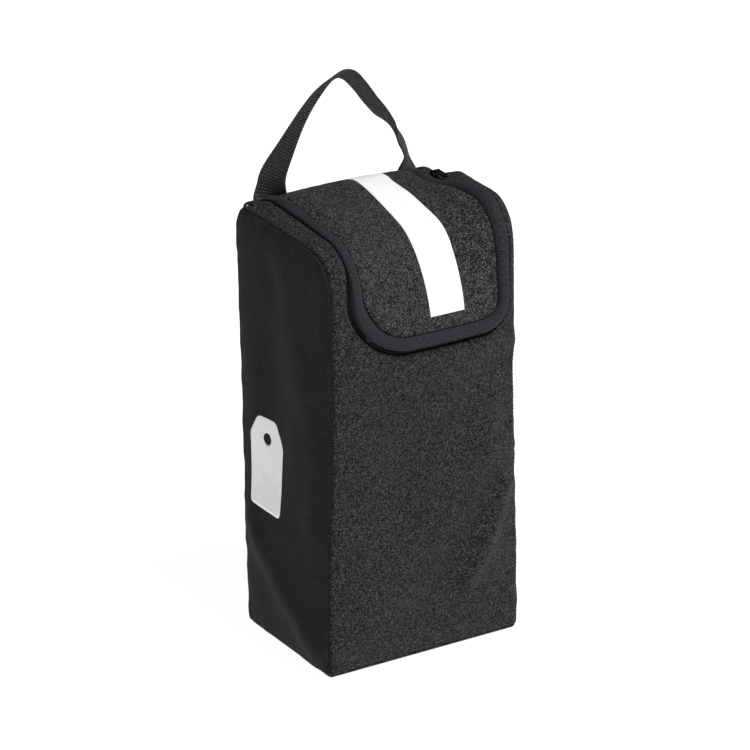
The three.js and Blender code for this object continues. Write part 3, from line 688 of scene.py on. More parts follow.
LOOKS = {
    "shell_cloth": woven("shell cloth", (0.0025, 0.0023, 0.0027), (0.158, 0.146, 0.155)),
    "side_cloth": woven(
        "side cloth", (0.0075, 0.0073, 0.0092), (0.055, 0.052, 0.064), 0.45, 0.45, 0.6, 0.08
    ),
    "side_mesh": knitted("side mesh", (0.003, 0.003, 0.003), (0.06, 0.058, 0.06), 2.8),
    # The lid cloth is the shell cloth made a third brighter: painted light for the stronger light on the
    # lid.
    "lid_cloth": woven("lid cloth", (0.003, 0.0028, 0.003), (0.21, 0.2, 0.203)),
    "lining": woven("lining", (0.02, 0.02, 0.022), (0.06, 0.06, 0.064), 0.35, 0.35, 0.3, 0.06, 0.7),
    "binding_tape": ribbed("binding tape", (0.005, 0.005, 0.0066), (0.05, 0.051, 0.063), 1.5, 0.9),
    "zip_tape": woven(
        "zip tape", (0.008, 0.008, 0.009), (0.05, 0.05, 0.054), 0.5, 0.9, 0.2, 0.12, 0.7, 0.1, 0.7
    ),
    "zip_coil": hard("zip coil", (0.012, 0.012, 0.013), 0.0, 0.35, 900.0),
    "zip_metal": hard("zip metal", (0.05, 0.05, 0.052), 1.0, 0.28, 700.0),
    "webbing": ribbed("webbing", (0.004, 0.004, 0.004), (0.1, 0.096, 0.094), 2.4, 1.0, 0.35),
    "white_print": printed("white print", (0.9, 0.9, 0.91)),
    "label": woven("label", (0.5, 0.5, 0.5), (0.8, 0.8, 0.79), 0.3, 0.3, 0.2, 0.05, 0.6),
}


def dressed(piece, slot):
    """Gives a piece the look of a material slot."""
    piece.data.materials.clear()
    piece.data.materials.append(LOOKS[slot])
    return piece


# ---- the panels ----
UP_FRONT, UP_BACK = Vector((0, -5, 1)), Vector((0, 4, 0))
SWELLING = 2.6  # height of the front cloth's roll beside the binding
HINGE_FADE = 24  # the front cloth lies flat over that distance from the crease

# Each fold: the point where it starts, the point where it ends, its half width and its height.
FRONT_FOLDS = [
    ((86, 152), (28, 44), 9, 5.2),
    ((66, 150), (8, 58), 12, -3.4),
    ((92, 168), (34, 186), 8, 4.2),
    ((94, 192), (72, 186), 6, -3.4),
    ((64, 250), (36, 196), 18, -5.0),
    ((-92, 128), (-58, 110), 7, 3.6),
    ((-92, 166), (-78, 162), 5, -3.0),
    ((-88, 250), (-62, 270), 7, 2.6),
    ((-20, 230), (-36, 130), 20, -3.2),
]
SIDE_FOLDS = [
    ((66, 112), (-66, 10), 15, 3.4),
    ((14, 345), (22, 120), 24, -4.2),
    ((-62, 262), (-28, 236), 12, 2.6),
    ((-50, 200), (-44, 120), 12, 1.6),
]
LID_FOLDS = [
    ((34, top_at(44)), (60, S_TOP - 6), 9, -1.6),
    ((44, top_at(40)), (66, S_TOP + 6), 6, 1.2),
    ((-50, top_at(46)), (-20, top_at(12)), 16, -2.2),
    ((-44, LID_BOTTOM + 22), (-56, LID_BOTTOM + 52), 5, 1.5),
]


def front_cloth():
    table, faces = both_halves(half_front)
    piece = wrapped_piece("front_cloth", table, faces)
    x, s = table[:, 0], table[:, 1]
    out, _ = lid_edge(x, s)
    sewn = sewn_round(table, S_FRONT - SEAM_RISE, S_HINGE - GAP) | (out < CUT_OUT + 3)
    settle(piece, sewn, UP_FRONT, 0.004, 4.5)
    halved(piece)

    def creases(x, s):
        side = CLOTH_HALF - np.abs(x)
        below = s - (S_FRONT - SEAM_RISE)
        z = s - S_FRONT + BASE_RADIUS
        rolling = 3.0 * value_noise(x / 62 + 3, s / 85, 11) + 1.3 * value_noise(x / 27, s / 38, 12)
        calm = smooth(side, 4, 40) * smooth(below, 4, 50) * smooth(lid_edge(x, s)[0], CUT_OUT + 4, 40)
        seams = 0.9 * gathers(s, side, 21, 15) * smooth(side, 1, 6)
        base = 1.1 * gathers(x, below, 23, 17) * smooth(below, 1, 6)
        pushed = folded(x, z, FRONT_FOLDS)
        flat = smooth(s, S_HINGE - HINGE_FADE, S_HINGE - 4)
        return (rolling * calm + seams + base + pushed * smooth(side, 1.5, 7)) * (1 - flat)

    def swelling(x, s):
        flat = smooth(s, S_HINGE - HINGE_FADE, S_HINGE - 4)
        near = (1 - smooth(lid_edge(x, s)[0], 3, 13)) * (1 - flat)
        up = smooth(s, LID_BOTTOM + 40, S_FRONT_TOP + 30)
        return SWELLING * near * up * smooth(CLOTH_HALF - np.abs(x), 2, 8)

    raised(piece, lambda x, s: creases(x, s) + swelling(x, s))
    dressed(piece, "shell_cloth")
    thick(piece, SKIN, LOOKS["lining"])
    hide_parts("front_panel")
    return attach(piece, "shell")


def back_cloth():
    start, end = S_HINGE, S_BACK_END + SEAM_RISE
    table, faces = strip_layout(start, end)
    piece = wrapped_piece("back_cloth", table, faces)
    settle(piece, sewn_round(table, start, end), UP_BACK, 0.004, 4)
    halved(piece)

    def creases(x, s):
        side, up, down = CLOTH_HALF - np.abs(x), s - start, end - s
        rolling = 1.2 * value_noise(x / 60, s / 80, 31) * smooth(side, 4, 40)
        seams = 0.7 * gathers(s, side, 33, 15) * smooth(side, 1, 6)
        return (rolling + seams) * smooth(up, 2, 20) + 0.8 * gathers(x, down, 35, 17) * smooth(down, 1, 6)

    raised(piece, creases)
    dressed(piece, "shell_cloth")
    thick(piece, SKIN, LOOKS["lining"])
    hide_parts("back_panel")
    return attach(piece, "shell")


def base_cloth():
    start, end = S_BACK_END + SEAM_RISE, outline.length + S_FRONT - SEAM_RISE
    table, faces = strip_layout(start, end)
    piece = halved(wrapped_piece("base_cloth", table, faces))
    dressed(piece, "shell_cloth")
    thick(piece, SKIN, LOOKS["lining"])
    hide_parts("base_panel")
    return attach(piece, "shell")


def level_rows():
    """Rows across the side panel: distances round the outline of their front and rear ends."""
    top_front, top_rear = outline.at(S_TOP)[0], outline.at(S_TOP_REAR)[0]
    along = unit(top_rear - top_front)
    up = np.array([-along[1], along[0]])
    front = np.linspace(S_FRONT_TURN, S_TOP, 4000)
    rear = np.linspace(S_BASE_REAR, S_TOP_REAR, 4000)
    height = [outline.at(s)[0][:, 1] for s in (front, rear)]
    depth = [(top_front - outline.at(s)[0]) @ up for s in (front, rear)]
    near = np.concatenate([SEAM_STEPS, between(SEAM_STEPS[-1], 60, PITCH)[1:]])
    low = [(np.interp(h, height[0], front), np.interp(h, height[1], rear)) for h in near]
    high = [
        (np.interp(-h, -depth[0], front), np.interp(-h, -depth[1], rear)) for h in near[::-1]
    ]
    middle = [
        (low[-1][0] + (high[0][0] - low[-1][0]) * f, low[-1][1] + (high[0][1] - low[-1][1]) * f)
        for f in between(0, 1, PITCH / (high[0][0] - low[-1][0]))[1:-1]
    ]
    return low + middle + high


def side_layout():
    """The side panel's lattice in (y, z), with each point's distance from the outline and the direction
    into the panel there."""
    usual = 140
    near = np.concatenate([SEAM_STEPS, between(SEAM_STEPS[-1], usual / 2, PITCH)[1:]]) / usual
    across = np.concatenate([near, 1 - near[-2::-1]])
    rows = level_rows()
    grid = []
    for front, rear in rows:
        a, b = outline.at(front)[0], outline.at(rear)[0]
        grid.append(a + (b - a) * across[:, None])
    points = np.array(grid).reshape(-1, 2)
    border_s = np.linspace(0, outline.length, 2400, endpoint=False)
    border, along = outline.at(border_s)
    depth, nearest = np.empty(len(points)), np.empty(len(points), int)
    for i, p in enumerate(points):
        far = ((border - p) ** 2).sum(1)
        nearest[i] = far.argmin()
        depth[i] = math.sqrt(far[nearest[i]])
    inwards = np.column_stack([along[nearest, 1], -along[nearest, 0]])
    return points, depth, inwards, lattice(len(rows), len(across))


def side_panel(name, side, layout):
    points, depth, inwards, faces = layout
    angle = np.clip(ROLL_TURN - depth / SEAM_ROLL, 0, ROLL_TURN)
    start = HALF_WIDTH - ROLL_START
    inset = np.where(angle > 0, start - SEAM_ROLL * np.sin(angle), depth + start - SEAM_STEPS[-1])
    shift = (inset - depth) * (1 - smooth(depth, 6, 20))
    y, z = (points + inwards * shift[:, None]).T
    bulge = 2.5 * smooth(depth, 3, 55)
    x = side * (HALF_WIDTH - SEAM_ROLL * (1 - np.cos(angle)) + bulge) * width_scale(y, z)
    at = shouldered(np.column_stack([x, y, z]))
    return made(name, at, faces, points, np.tile([side, 0, 0], (len(at), 1)))


def side_cloth(side, slot, layout, seed):
    end = "left" if side < 0 else "right"
    depth = layout[1]
    piece = side_panel("side_cloth_" + end, side, layout)
    settle(piece, depth < 5, Vector((side * 3.0, 0, 0)), 0.003, 3.5)
    halved(piece)
    top_y, low_y = FRONT_Y["top"], FRONT_Y["base"]

    def creases(y, z):
        front = y - (low_y + (top_y - low_y) * z / TOP_Z["front"])
        rear = REAR_Y["base"] + (REAR_Y["top"] - REAR_Y["base"]) * z / TOP_Z["rear"] - y
        top = TOP_Z["front"] + (y - top_y) * (TOP_Z["rear"] - TOP_Z["front"]) / (REAR_Y["top"] - top_y) - z
        inner = np.minimum(np.minimum(front, rear), np.minimum(top, z))
        calm = smooth(inner, 4, 40)
        rolling = 1.6 * value_noise(y / 48, z / 75, seed) + 0.7 * value_noise(y / 22, z / 30, seed + 1)
        seams = gathers(z, front, seed + 3, 13) + gathers(z, rear, seed + 5, 13)
        seams = seams + gathers(y, top, seed + 7, 11)
        pushed = folded(y, z, SIDE_FOLDS)
        mesh_holes = 0.45 * np.cos(2 * math.pi * z / 3.4) * np.exp(-np.maximum(front, 0) / 5) * (side > 0)
        inside = smooth(inner, 1, 6)
        at_base = gathers(y, z, seed + 9, 15) * inside
        return rolling * calm + (seams * 0.9 + pushed) * inside + at_base + mesh_holes

    raised(piece, creases)
    dressed(piece, slot)
    thick(piece, SKIN, LOOKS["lining"])
    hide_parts("side_panel_" + end)
    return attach(piece, "shell")


# ---- the lid ----
LID_TOP, LID_SKIN = 2.4, 1.2
PILLOW, PILLOW_REACH = 2.6, 6.0
LID_INSET = BINDING_WIDTH + 0.3
LID_REAR = S_HINGE - 0.5


def lid_height(x, s, top=LID_TOP, pillow=PILLOW):
    """Height of the lid's cloth: it fills out away from the binding and comes down to the crease."""
    inside = -(lid_edge(x, s)[0] + LID_INSET)
    full = top + pillow * (1 - np.exp(-np.maximum(inside, 0) / PILLOW_REACH))
    return full + (0.9 - full) * smooth(s, S_HINGE - 22, S_HINGE - 2)


def half_lid(grow, edge_radius, marks_x, corner):
    """The lid cloth's left half, flat: a band along its U-shaped edge round a plain lattice."""
    half, bottom, radius = LID_HALF + grow, LID_BOTTOM - grow, corner + grow
    inset = 12
    stops_x = sorted([-half + inset, *marks_x, 0])
    xs = np.concatenate([between(a, b, PITCH)[:-1] for a, b in zip(stops_x, stops_x[1:])] + [[0.0]])
    low = bottom + inset
    stops_s = sorted([low, *LID_MARKS_S, LID_REAR])
    ss = np.concatenate([between(a, b, PITCH)[:-1] for a, b in zip(stops_s, stops_s[1:])] + [[LID_REAR]])
    edge, out, target = u_rows(half, bottom, radius, xs, ss)
    insets, depths = turned_edge(edge_radius)
    stops = [(edge - out * i, d) for i, d in zip(insets, depths)]
    start = stops[-1][0]
    stops += [(start + (target - start) * f, 0) for f in (0.12, 0.28, 0.5, 0.75, 1)]
    band, band_faces = band_table(stops)
    inner = np.array([(x, s, 0) for s in ss for x in xs])
    inner_faces = lattice(len(ss), len(xs)) + len(band)
    return merged(np.vstack([band, inner]), np.vstack([band_faces, inner_faces]))


PRINT_RIGHT = 32
PRINT_LOW, PRINT_HIGH = front_at(300), top_at(56)
PRINT_FILM = 0.12  # the print's thickness
LID_MARKS_S = (PRINT_LOW, PRINT_HIGH)


def lid_cloth():
    table, faces = both_halves(lambda corner: half_lid(-LID_INSET, EDGE_ROLL, (-PRINT_RIGHT,), corner))
    x, s = table[:, 0], table[:, 1]
    n = lid_height(x, s) - table[:, 2]
    points = wrap(x, s, n)
    piece = made("lid_cloth", points, faces, table[:, :2], wrap(x, s, n + 1) - points)
    inside = -(lid_edge(x, s)[0] + LID_INSET)
    sewn = (inside < 2.5) | (s > S_HINGE - 14)
    settle(piece, sewn, Vector((0, -2, 4)), 0.003, 3)
    halved(piece)

    def creases(x, s):
        out, along = lid_edge(x, s)
        inside = -(out + LID_INSET)
        rear = S_HINGE - s
        rolling = 0.9 * value_noise(x / 45, s / 55, 51) + 0.35 * value_noise(x / 20, s / 24, 52)
        stitched = 0.42 * np.cos(2 * math.pi * along / 4.8) * np.exp(-np.maximum(inside, 0) / 2.6)
        pushed = folded(x, s, LID_FOLDS)
        return (
            (rolling + pushed) * smooth(inside, 4, 22) * smooth(rear, 8, 40)
            + 1.1 * gathers(along, inside, 53, 11) * smooth(inside, 0.5, 4)
            + stitched * smooth(rear, 8, 20)
        )

    raised(piece, creases)
    dressed(piece, "lid_cloth")
    return piece


def print_band(cloth):
    """The white band: the lid's own cloth between two marks, lifted by the print's thickness."""
    mesh = cloth.data
    flat = flat_of(cloth)
    at = places(cloth) / MM + normals(cloth) * 0.22
    sides = np.array([p.vertices[:] for p in mesh.polygons])
    middle = flat[sides].mean(1)
    x, s = middle[:, 0], middle[:, 1]
    keep = (x > 0) & (x < PRINT_RIGHT) & (s > PRINT_LOW) & (s < PRINT_HIGH)
    used, faces = np.unique(sides[keep], return_inverse=True)
    piece = made("lid_print", at[used], faces.reshape(-1, 4), flat[used], normals(cloth)[used])
    dressed(piece, "white_print")
    thick(piece, PRINT_FILM)
    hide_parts("lid_print_band")
    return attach(piece, "lid")


def lid_lining():
    table, faces = both_halves(lambda corner: half_lid(-1.5, 0.4, (), corner))
    x, s = table[:, 0], table[:, 1]
    full = smooth(-lid_edge(x, s)[0], 4, 30) * (1 - smooth(s, S_HINGE - 30, S_HINGE - 8))
    n = -0.2 - table[:, 2] + 1.2 * full
    points = wrap(x, s, n)
    piece = halved(made("lid_lining_cloth", points, faces, table[:, :2], points - wrap(x, s, n + 1)))
    raised(piece, lambda x, s: 0.25 * value_noise(x / 14, s / 17, 61) * smooth(S_HINGE - s, 6, 20))
    dressed(piece, "lining")
    thick(piece, 0.6)
    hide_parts("lid_lining")
    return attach(piece, "lid")


def finished_lid():
    """The lid's cloth with its print and its thickness."""
    lid = lid_cloth()
    print_band(lid)
    thick(lid, LID_SKIN, LOOKS["lining"])
    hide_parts("lid_panel")
    crease = wrap(0, S_HINGE, 0) * MM
    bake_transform(lid)


# ---- bands along the lid's edge ----
LEFT_EDGE, RIGHT_EDGE = [
    LID_HALF - radius + radius * math.pi / 2 + S_HINGE - LID_BOTTOM - radius
    for radius in (LEFT_CORNER, RIGHT_CORNER)
]


def on_edge(along):
    """Points (x, s) of the lid's edge at signed distances from the middle of its bottom, and the outward
    directions."""
    radius = np.where(along < 0, LEFT_CORNER, RIGHT_CORNER)
    bottom, turn = LID_HALF - radius, radius * math.pi / 2
    far = np.abs(along)
    angle = np.clip((far - bottom) / radius, 0, math.pi / 2)
    side = np.sign(along)
    x = np.minimum(far, bottom) + radius * np.sin(angle)
    s = LID_BOTTOM + radius * (1 - np.cos(angle)) + np.maximum(far - bottom - turn, 0)
    return np.column_stack([side * x, s]), np.column_stack([side * np.sin(angle), -np.cos(angle)])


def edge_sweep(name, along, profile):
    """A closed band whose section follows the lid's edge. profile(along) gives outward offsets and heights,
    one row for each place and one column for each corner of the section."""
    at, out = on_edge(along)
    offset, height = profile(along[:, None])
    flat = at[:, None, :] + out[:, None, :] * offset[..., None]
    points = wrap(flat[..., 0], flat[..., 1], height)
    first, second = [np.diff(row[0], prepend=row[0, 0]) for row in (offset, height)]
    girth = np.cumsum(np.hypot(first, second))
    return swept(name, points, girth, along, points - points.mean(1, keepdims=True))


def swept(name, points, across, along, out):
    """A band with closed ends: one ring of points for each place along it. across and along are its flat
    coordinates, out points away from its middle."""
    rows, columns = points.shape[:2]
    uv = np.stack(np.broadcast_arrays(across, along[:, None]), -1).reshape(-1, 2)
    faces = lattice(rows, columns, ring=True)
    piece = made(name, points.reshape(-1, 3), faces, uv, out.reshape(-1, 3))
    rings = [range(columns), range((rows - 1) * columns, rows * columns)]
    bm = bmesh.new()
    bm.from_mesh(piece.data)
    bm.verts.ensure_lookup_table()
    for ring in rings:
        bm.faces.new([bm.verts[i] for i in ring])
    bmesh.ops.recalc_face_normals(bm, faces=bm.faces[:])
    bm.to_mesh(piece.data)
    bm.free()
    return piece


RIB_PITCH = 1.5
BINDING_TRIM, ZIP_TRIM, STOP_LENGTH = 2.5, 8, 5.4  # how far the bands end before the crease


def lid_binding():
    """Ribbed tape folded round the lid's edge."""
    left, right = LEFT_EDGE - BINDING_TRIM, RIGHT_EDGE - BINDING_TRIM
    along = between(-left, right, RIB_PITCH / 4)
    inner = [(-BINDING_WIDTH + 0.2, 0.6), (-BINDING_WIDTH + 0.1, 1.8), (-BINDING_WIDTH + 0.6, 2.9)]
    top = [(-10.6, 4.3), (-9.4, 5.3), (-8, 5.9), (-6.4, 6.1), (-4.9, 5.8)]
    nose = [(-3.9 + 2.7 * math.sin(a), 3.0 + 2.65 * math.cos(a)) for a in np.linspace(0.35, 2.8, 8)]
    under = [(-3.9, 0.35), (-7, 0.35), (-10, 0.4)]
    section = np.array(inner + top + nose + under)
    above = smooth(section[:, 1], 1.5, 4.5)

    def profile(at):
        end = smooth(np.minimum(left + at, right - at), 0, 26)
        low = 0.42 + 0.58 * end
        low = low * (1 - 0.35 * smooth(at, 80, 150))
        rib = 0.1 * np.cos(2 * math.pi * at / RIB_PITCH)
        sag = 0.35 * value_noise(at / 23, at * 0, 71) + 0.2 * value_noise(at / 9, at * 0, 72)
        height = 0.35 + (section[:, 1] - 0.35) * low + (rib + sag * end) * above
        uneven = 0.3 * value_noise(at / 31, at * 0, 73)
        offset = section[:, 0] + 0 * at + uneven * smooth(section[:, 0], -6, 0)
        return offset, height

    piece = edge_sweep("lid_edge_tape", along, profile)
    dressed(piece, "binding_tape")
    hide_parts("lid_binding")
    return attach(piece, "lid")


TAPE_PITCH = 2
TAPE_SOFT = 0.3  # how far in from its sides a tape's face starts


def zip_tape(name, inner, outer, low, high, node, body):
    """A strip of tape along the lid's edge."""
    left, right = [edge - LID_REAR_GAP - ZIP_TRIM for edge in (LEFT_EDGE, RIGHT_EDGE)]
    section = np.array([
        (inner, low), (inner, high), (inner + TAPE_SOFT, high + 0.1), ((inner + outer) / 2, high + 0.1),
        (outer - TAPE_SOFT, high + 0.1), (outer, high), (outer, low),
    ])
    along = between(-left, right, TAPE_PITCH)
    piece = edge_sweep(name, along, lambda at: (section[:, 0] + 0 * at, section[:, 1] + 0 * at))
    dressed(piece, "zip_tape")
    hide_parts(node)
    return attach(piece, body)


COIL_PITCH, COIL_WIRE, COIL_RISE = 1.3, 0.34, 2


def zip_coil(name, inner, outer, low, trim, flip):
    """A spiral of plastic wire sewn along the lid's edge."""
    high = low + COIL_RISE
    left, right = [edge - LID_REAR_GAP - trim for edge in (LEFT_EDGE, RIGHT_EDGE)]
    along = between(-left, right, COIL_PITCH / 8)
    angle = 2 * math.pi * (along + left) / COIL_PITCH * flip
    middle, tall = ((inner + outer) / 2, (low + high) / 2)
    reach, rise = (outer - inner) / 2 - COIL_WIRE, (high - low) / 2 - COIL_WIRE
    at, out = on_edge(along)
    offset, height = middle + reach * np.cos(angle), tall + rise * np.sin(angle)
    flat = at + out * offset[:, None]
    line = wrap(flat[:, 0], flat[:, 1], height)
    core_flat = at + out * middle
    core = wrap(core_flat[:, 0], core_flat[:, 1], tall)
    return tube(name, line, COIL_WIRE, 6, unit(np.gradient(core, axis=0)))


def tube(name, line, radius, sides, steady):
    """A round wire along a line. steady is a direction for each point that the line never runs along."""
    along = unit(np.gradient(line, axis=0))
    first = unit(np.cross(along, steady))
    second = np.cross(along, first)
    turn = np.arange(sides) * 2 * math.pi / sides
    ring = first[:, None] * np.cos(turn)[:, None] + second[:, None] * np.sin(turn)[:, None]
    radii = np.broadcast_to(radius, len(line))[:, None, None]
    travelled = np.concatenate([[0], np.cumsum(np.linalg.norm(np.diff(line, axis=0), axis=1))])
    return swept(name, line[:, None] + ring * radii, turn * radius, travelled, ring)


def zip_pieces():
    """Each half of the zip: its offsets outwards from the lid's edge, then its heights."""
    zip_tape("zip_cloth_body", 3.4, 12.5, -4.7, -4.1, "zip_tape_body", "shell")
    zip_tape("zip_cloth_lid", -10, 0.4, -2.6, -2.1, "zip_tape_lid", "lid")
    for name, inner, outer, low, trim, node, body, flip in (
        ("zip_spiral_body", 2.7, 4.3, -4.0, ZIP_TRIM + STOP_LENGTH, "zip_coil_body", "shell", 1),
        ("zip_spiral_lid", 0.8, 2.4, -2.8, ZIP_TRIM, "zip_coil_lid", "lid", -1),
    ):
        piece = zip_coil(name, inner, outer, low, trim, flip)
        dressed(piece, "zip_coil")
        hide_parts(node)
        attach(piece, body)


TAB_INNER, TAB_OUTER = 2.6, 12.2  # outwards from the lid's side edge


def on_grid(name, points, u, v, out):
    """An open sheet on a grid. u and v are its flat coordinates."""
    uv = np.stack([u, v], -1).reshape(-1, 2)
    return made(name, points.reshape(-1, 3), lattice(*u.shape), uv, out.reshape(-1, 3))


def end_tab(side):
    """The folded cloth tab that covers each end of the zip."""
    name = "left" if side < 0 else "right"
    start, end = S_HINGE - LID_REAR_GAP - 15, S_HINGE - 1
    ss = between(start, end, 0.7)
    offsets = between(TAB_INNER, TAB_OUTER, 0.6)
    mesh_s, mesh_d = np.meshgrid(ss, offsets, indexing="ij")
    edge = np.minimum(np.minimum(mesh_d - TAB_INNER, TAB_OUTER - mesh_d), mesh_s - start)
    rise = 0.5 + 1.9 * np.sqrt(np.clip(edge / 2.2, 0, 1))
    rise = rise + 1.1 * smooth(mesh_s, start + 5, end) * smooth(edge, 0, 3)
    x = side * (LID_HALF + mesh_d)
    points = wrap(x, mesh_s, rise)
    piece = on_grid("zip_tab_" + name, points, x, mesh_s, wrap(x, mesh_s, rise + 1) - points)
    dressed(piece, "shell_cloth")
    thick(piece, 0.7)
    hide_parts("zip_end_tab_" + name)
    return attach(piece, "shell")


# ---- inside trim ----
# Sections of the bound seam allowances: distance along the panel and depth inside the bag.
SIDE_TAPE = [(0.1, 3.2), (1.5, 3.2), (1.7, 6), (1.5, 8.6), (0.8, 9.1), (0.1, 8.6), (-0.1, 6)]
BASE_TAPE = [(0.8, 2.6), (2.6, 2.6), (2.8, 5), (2.5, 8.4), (1.7, 9), (0.9, 8.4), (0.7, 5)]
SIDE_TAPE_IN = 4.2  # from the side cloth
BASE_TAPE_IN = 11  # from the side cloth to the tape's end


def seam_tapes():
    """The bound seam allowances inside the side seams and the base seams."""
    for side, end in ((-1, "left"), (1, "right")):
        ss = between(0, outline.length, 2.5)[:-1]
        section = np.array(SIDE_TAPE)
        x = side * (HALF_WIDTH - SIDE_TAPE_IN + section[:, 0])
        wave = 0.3 * value_noise(ss / 12, ss * 0, 81 + side)[:, None] * smooth(section[:, 1], 5, 9)
        points = wrap(x + wave, ss[:, None], -section[:, 1] + 0 * wave)
        out = (points - points.mean(1, keepdims=True)).reshape(-1, 3)
        around = np.vstack([lattice(*points.shape[:2], ring=True), closing(*points.shape[:2])])
        uv = np.stack(np.broadcast_arrays(section[:, 1], ss[:, None]), -1).reshape(-1, 2)
        piece = made("seam_tape_" + end, points.reshape(-1, 3), around, uv, out)
        dressed(piece, "binding_tape")
        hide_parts("seam_binding_" + end)
        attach(piece, "shell")
    for place, seam, way in (("front", S_FRONT - SEAM_RISE, 1), ("back", S_BACK_END + SEAM_RISE, -1)):
        xs = between(-HALF_WIDTH + BASE_TAPE_IN, HALF_WIDTH - BASE_TAPE_IN, 1.5)
        section = np.array(BASE_TAPE)
        points = wrap(xs[:, None], seam + way * section[:, 0], -section[:, 1] + 0 * xs[:, None])
        out = points - points.mean(1, keepdims=True)
        piece = swept("base_tape_" + place, points, section[:, 1], xs, out)
        dressed(piece, "binding_tape")
        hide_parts("base_seam_binding_" + place)
        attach(piece, "shell")


def closing(rows, columns):
    """Quads that join a closed sweep's last row to its first."""
    first, last = np.arange(columns), (rows - 1) * columns + np.arange(columns)
    return np.stack([last, np.roll(last, -1), np.roll(first, -1), first], -1)


def crease_tape():
    xs, ss = between(-LID_HALF + 12, LID_HALF - 12, 2), between(S_HINGE - 7, S_HINGE + 7, 1)
    x, s = np.meshgrid(xs, ss, indexing="ij")
    points = wrap(x, s, -3.1 + 0 * x)
    piece = on_grid("crease_tape", points, s, x, wrap(x, s, -2.1 + 0 * x) - points)
    dressed(piece, "binding_tape")
    thick(piece, 0.9)
    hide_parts("lid_seam_tape")
    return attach(piece, "shell")


def care_label():
    """A blank folded label, held by its top edge."""
    lo, hi = [np.array(v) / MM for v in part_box("care_label")]
    wide, tall = hi[0] - lo[0], hi[2] - lo[2]
    xs, down = between(lo[0], hi[0], 1.3), between(0, tall, 1.3)
    x, d = np.meshgrid(xs, down, indexing="ij")
    curl = 3.5 * smooth(d, 12, tall) + 0.6 * value_noise(x / 11, d / 14, 91)
    points = np.stack([x, hi[1] - 0.3 - curl, hi[2] - d], -1)
    piece = on_grid("blank_label", points, x, d, np.tile([0, -1, 0], (*x.shape, 1)))
    dressed(piece, "label")
    thick(piece, 0.35)
    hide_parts("care_label")
    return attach(piece, "shell")


# ---- the printed mark on the left side ----
def side_mark(cloth):
    """A plain luggage-tag shape with a round hole."""
    lo, hi = [np.array(v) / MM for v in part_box("side_print_mark")]
    y0, z0 = (lo[1] + hi[1]) / 2, (lo[2] + hi[2]) / 2
    w, h, hole = (hi[1] - lo[1]) / 2, (hi[2] - lo[2]) / 2, 5
    shape = rounded_corners([(-w, -h), (w, -h), (w, h - 18), (w / 2, h), (-w / 2, h), (-w, h - 18)], 4)
    middle = np.array([0, h - 18])
    angles = np.linspace(-math.pi, math.pi, 144, endpoint=False)
    bearing = np.arctan2(*(shape - middle).T[::-1])
    order = np.argsort(bearing)
    far = np.linalg.norm(shape - middle, axis=1)
    reach = np.interp(angles, bearing[order], far[order], period=2 * math.pi)
    share = np.linspace(0, 1, 22)
    radius = hole + (reach[:, None] - hole) * share
    y = y0 + middle[0] + radius * np.cos(angles)[:, None]
    z = z0 + middle[1] + radius * np.sin(angles)[:, None]
    corners = [v.co for v in cloth.data.vertices]
    surface = BVHTree.FromPolygons(corners, [p.vertices[:] for p in cloth.data.polygons])
    x = [
        surface.ray_cast(Vector((-0.2, a * MM, b * MM)), Vector((1, 0, 0)))[0].x / MM - 0.2
        for a, b in zip(y.ravel(), z.ravel())
    ]
    points = np.column_stack([x, y.ravel(), z.ravel()])
    faces = np.vstack([lattice(len(angles), 22), closing(len(angles), 22)[:-1]])
    out = np.tile([-1, 0, 0], (len(points), 1))
    piece = made("side_print", points, faces, np.column_stack([y.ravel(), z.ravel()]), out)
    dressed(piece, "white_print")
    thick(piece, PRINT_FILM)
    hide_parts("side_print_mark")
    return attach(piece, "shell")


def rounded_corners(points, radius):
    """A closed outline with its corners rounded off, as closely spaced points."""
    points = [np.array(p, float) for p in points]
    out = []
    for before, at, after in zip([points[-1], *points], points, [*points[1:], points[0]]):
        a, b = at + unit(before - at) * radius, at + unit(after - at) * radius
        for t in np.linspace(0, 1, 6):
            out.append((1 - t) ** 2 * a + 2 * t * (1 - t) * at + t * t * b)
    closed = np.array(out + out[:1])
    far = np.concatenate([[0], np.cumsum(np.linalg.norm(np.diff(closed, axis=0), axis=1))])
    even = np.linspace(0, far[-1], 400, endpoint=False)
    return np.column_stack([np.interp(even, far, closed[:, k]) for k in (0, 1)])


# ---- the handle ----
def rounded_route(points):
    """A centripetal Catmull-Rom curve through the points, with 30 steps between each two."""
    p = np.array(points, float)
    p = np.vstack([2 * p[0] - p[1], p, 2 * p[-1] - p[-2]])
    out = []
    for q in zip(p, p[1:], p[2:], p[3:]):
        k = np.cumsum([0, *[np.linalg.norm(b - a) ** 0.5 for a, b in zip(q, q[1:])]])
        t = np.linspace(k[1], k[2], 30, endpoint=False)[:, None]
        mix = lambda a, b, i, j: (a * (k[j] - t) + b * (t - k[i])) / (k[j] - k[i])
        a = [mix(q[i], q[i + 1], i, i + 1) for i in range(3)]
        out.append(mix(mix(a[0], a[1], 0, 2), mix(a[1], a[2], 1, 3), 1, 2))
    return np.vstack([*out, p[-2]])


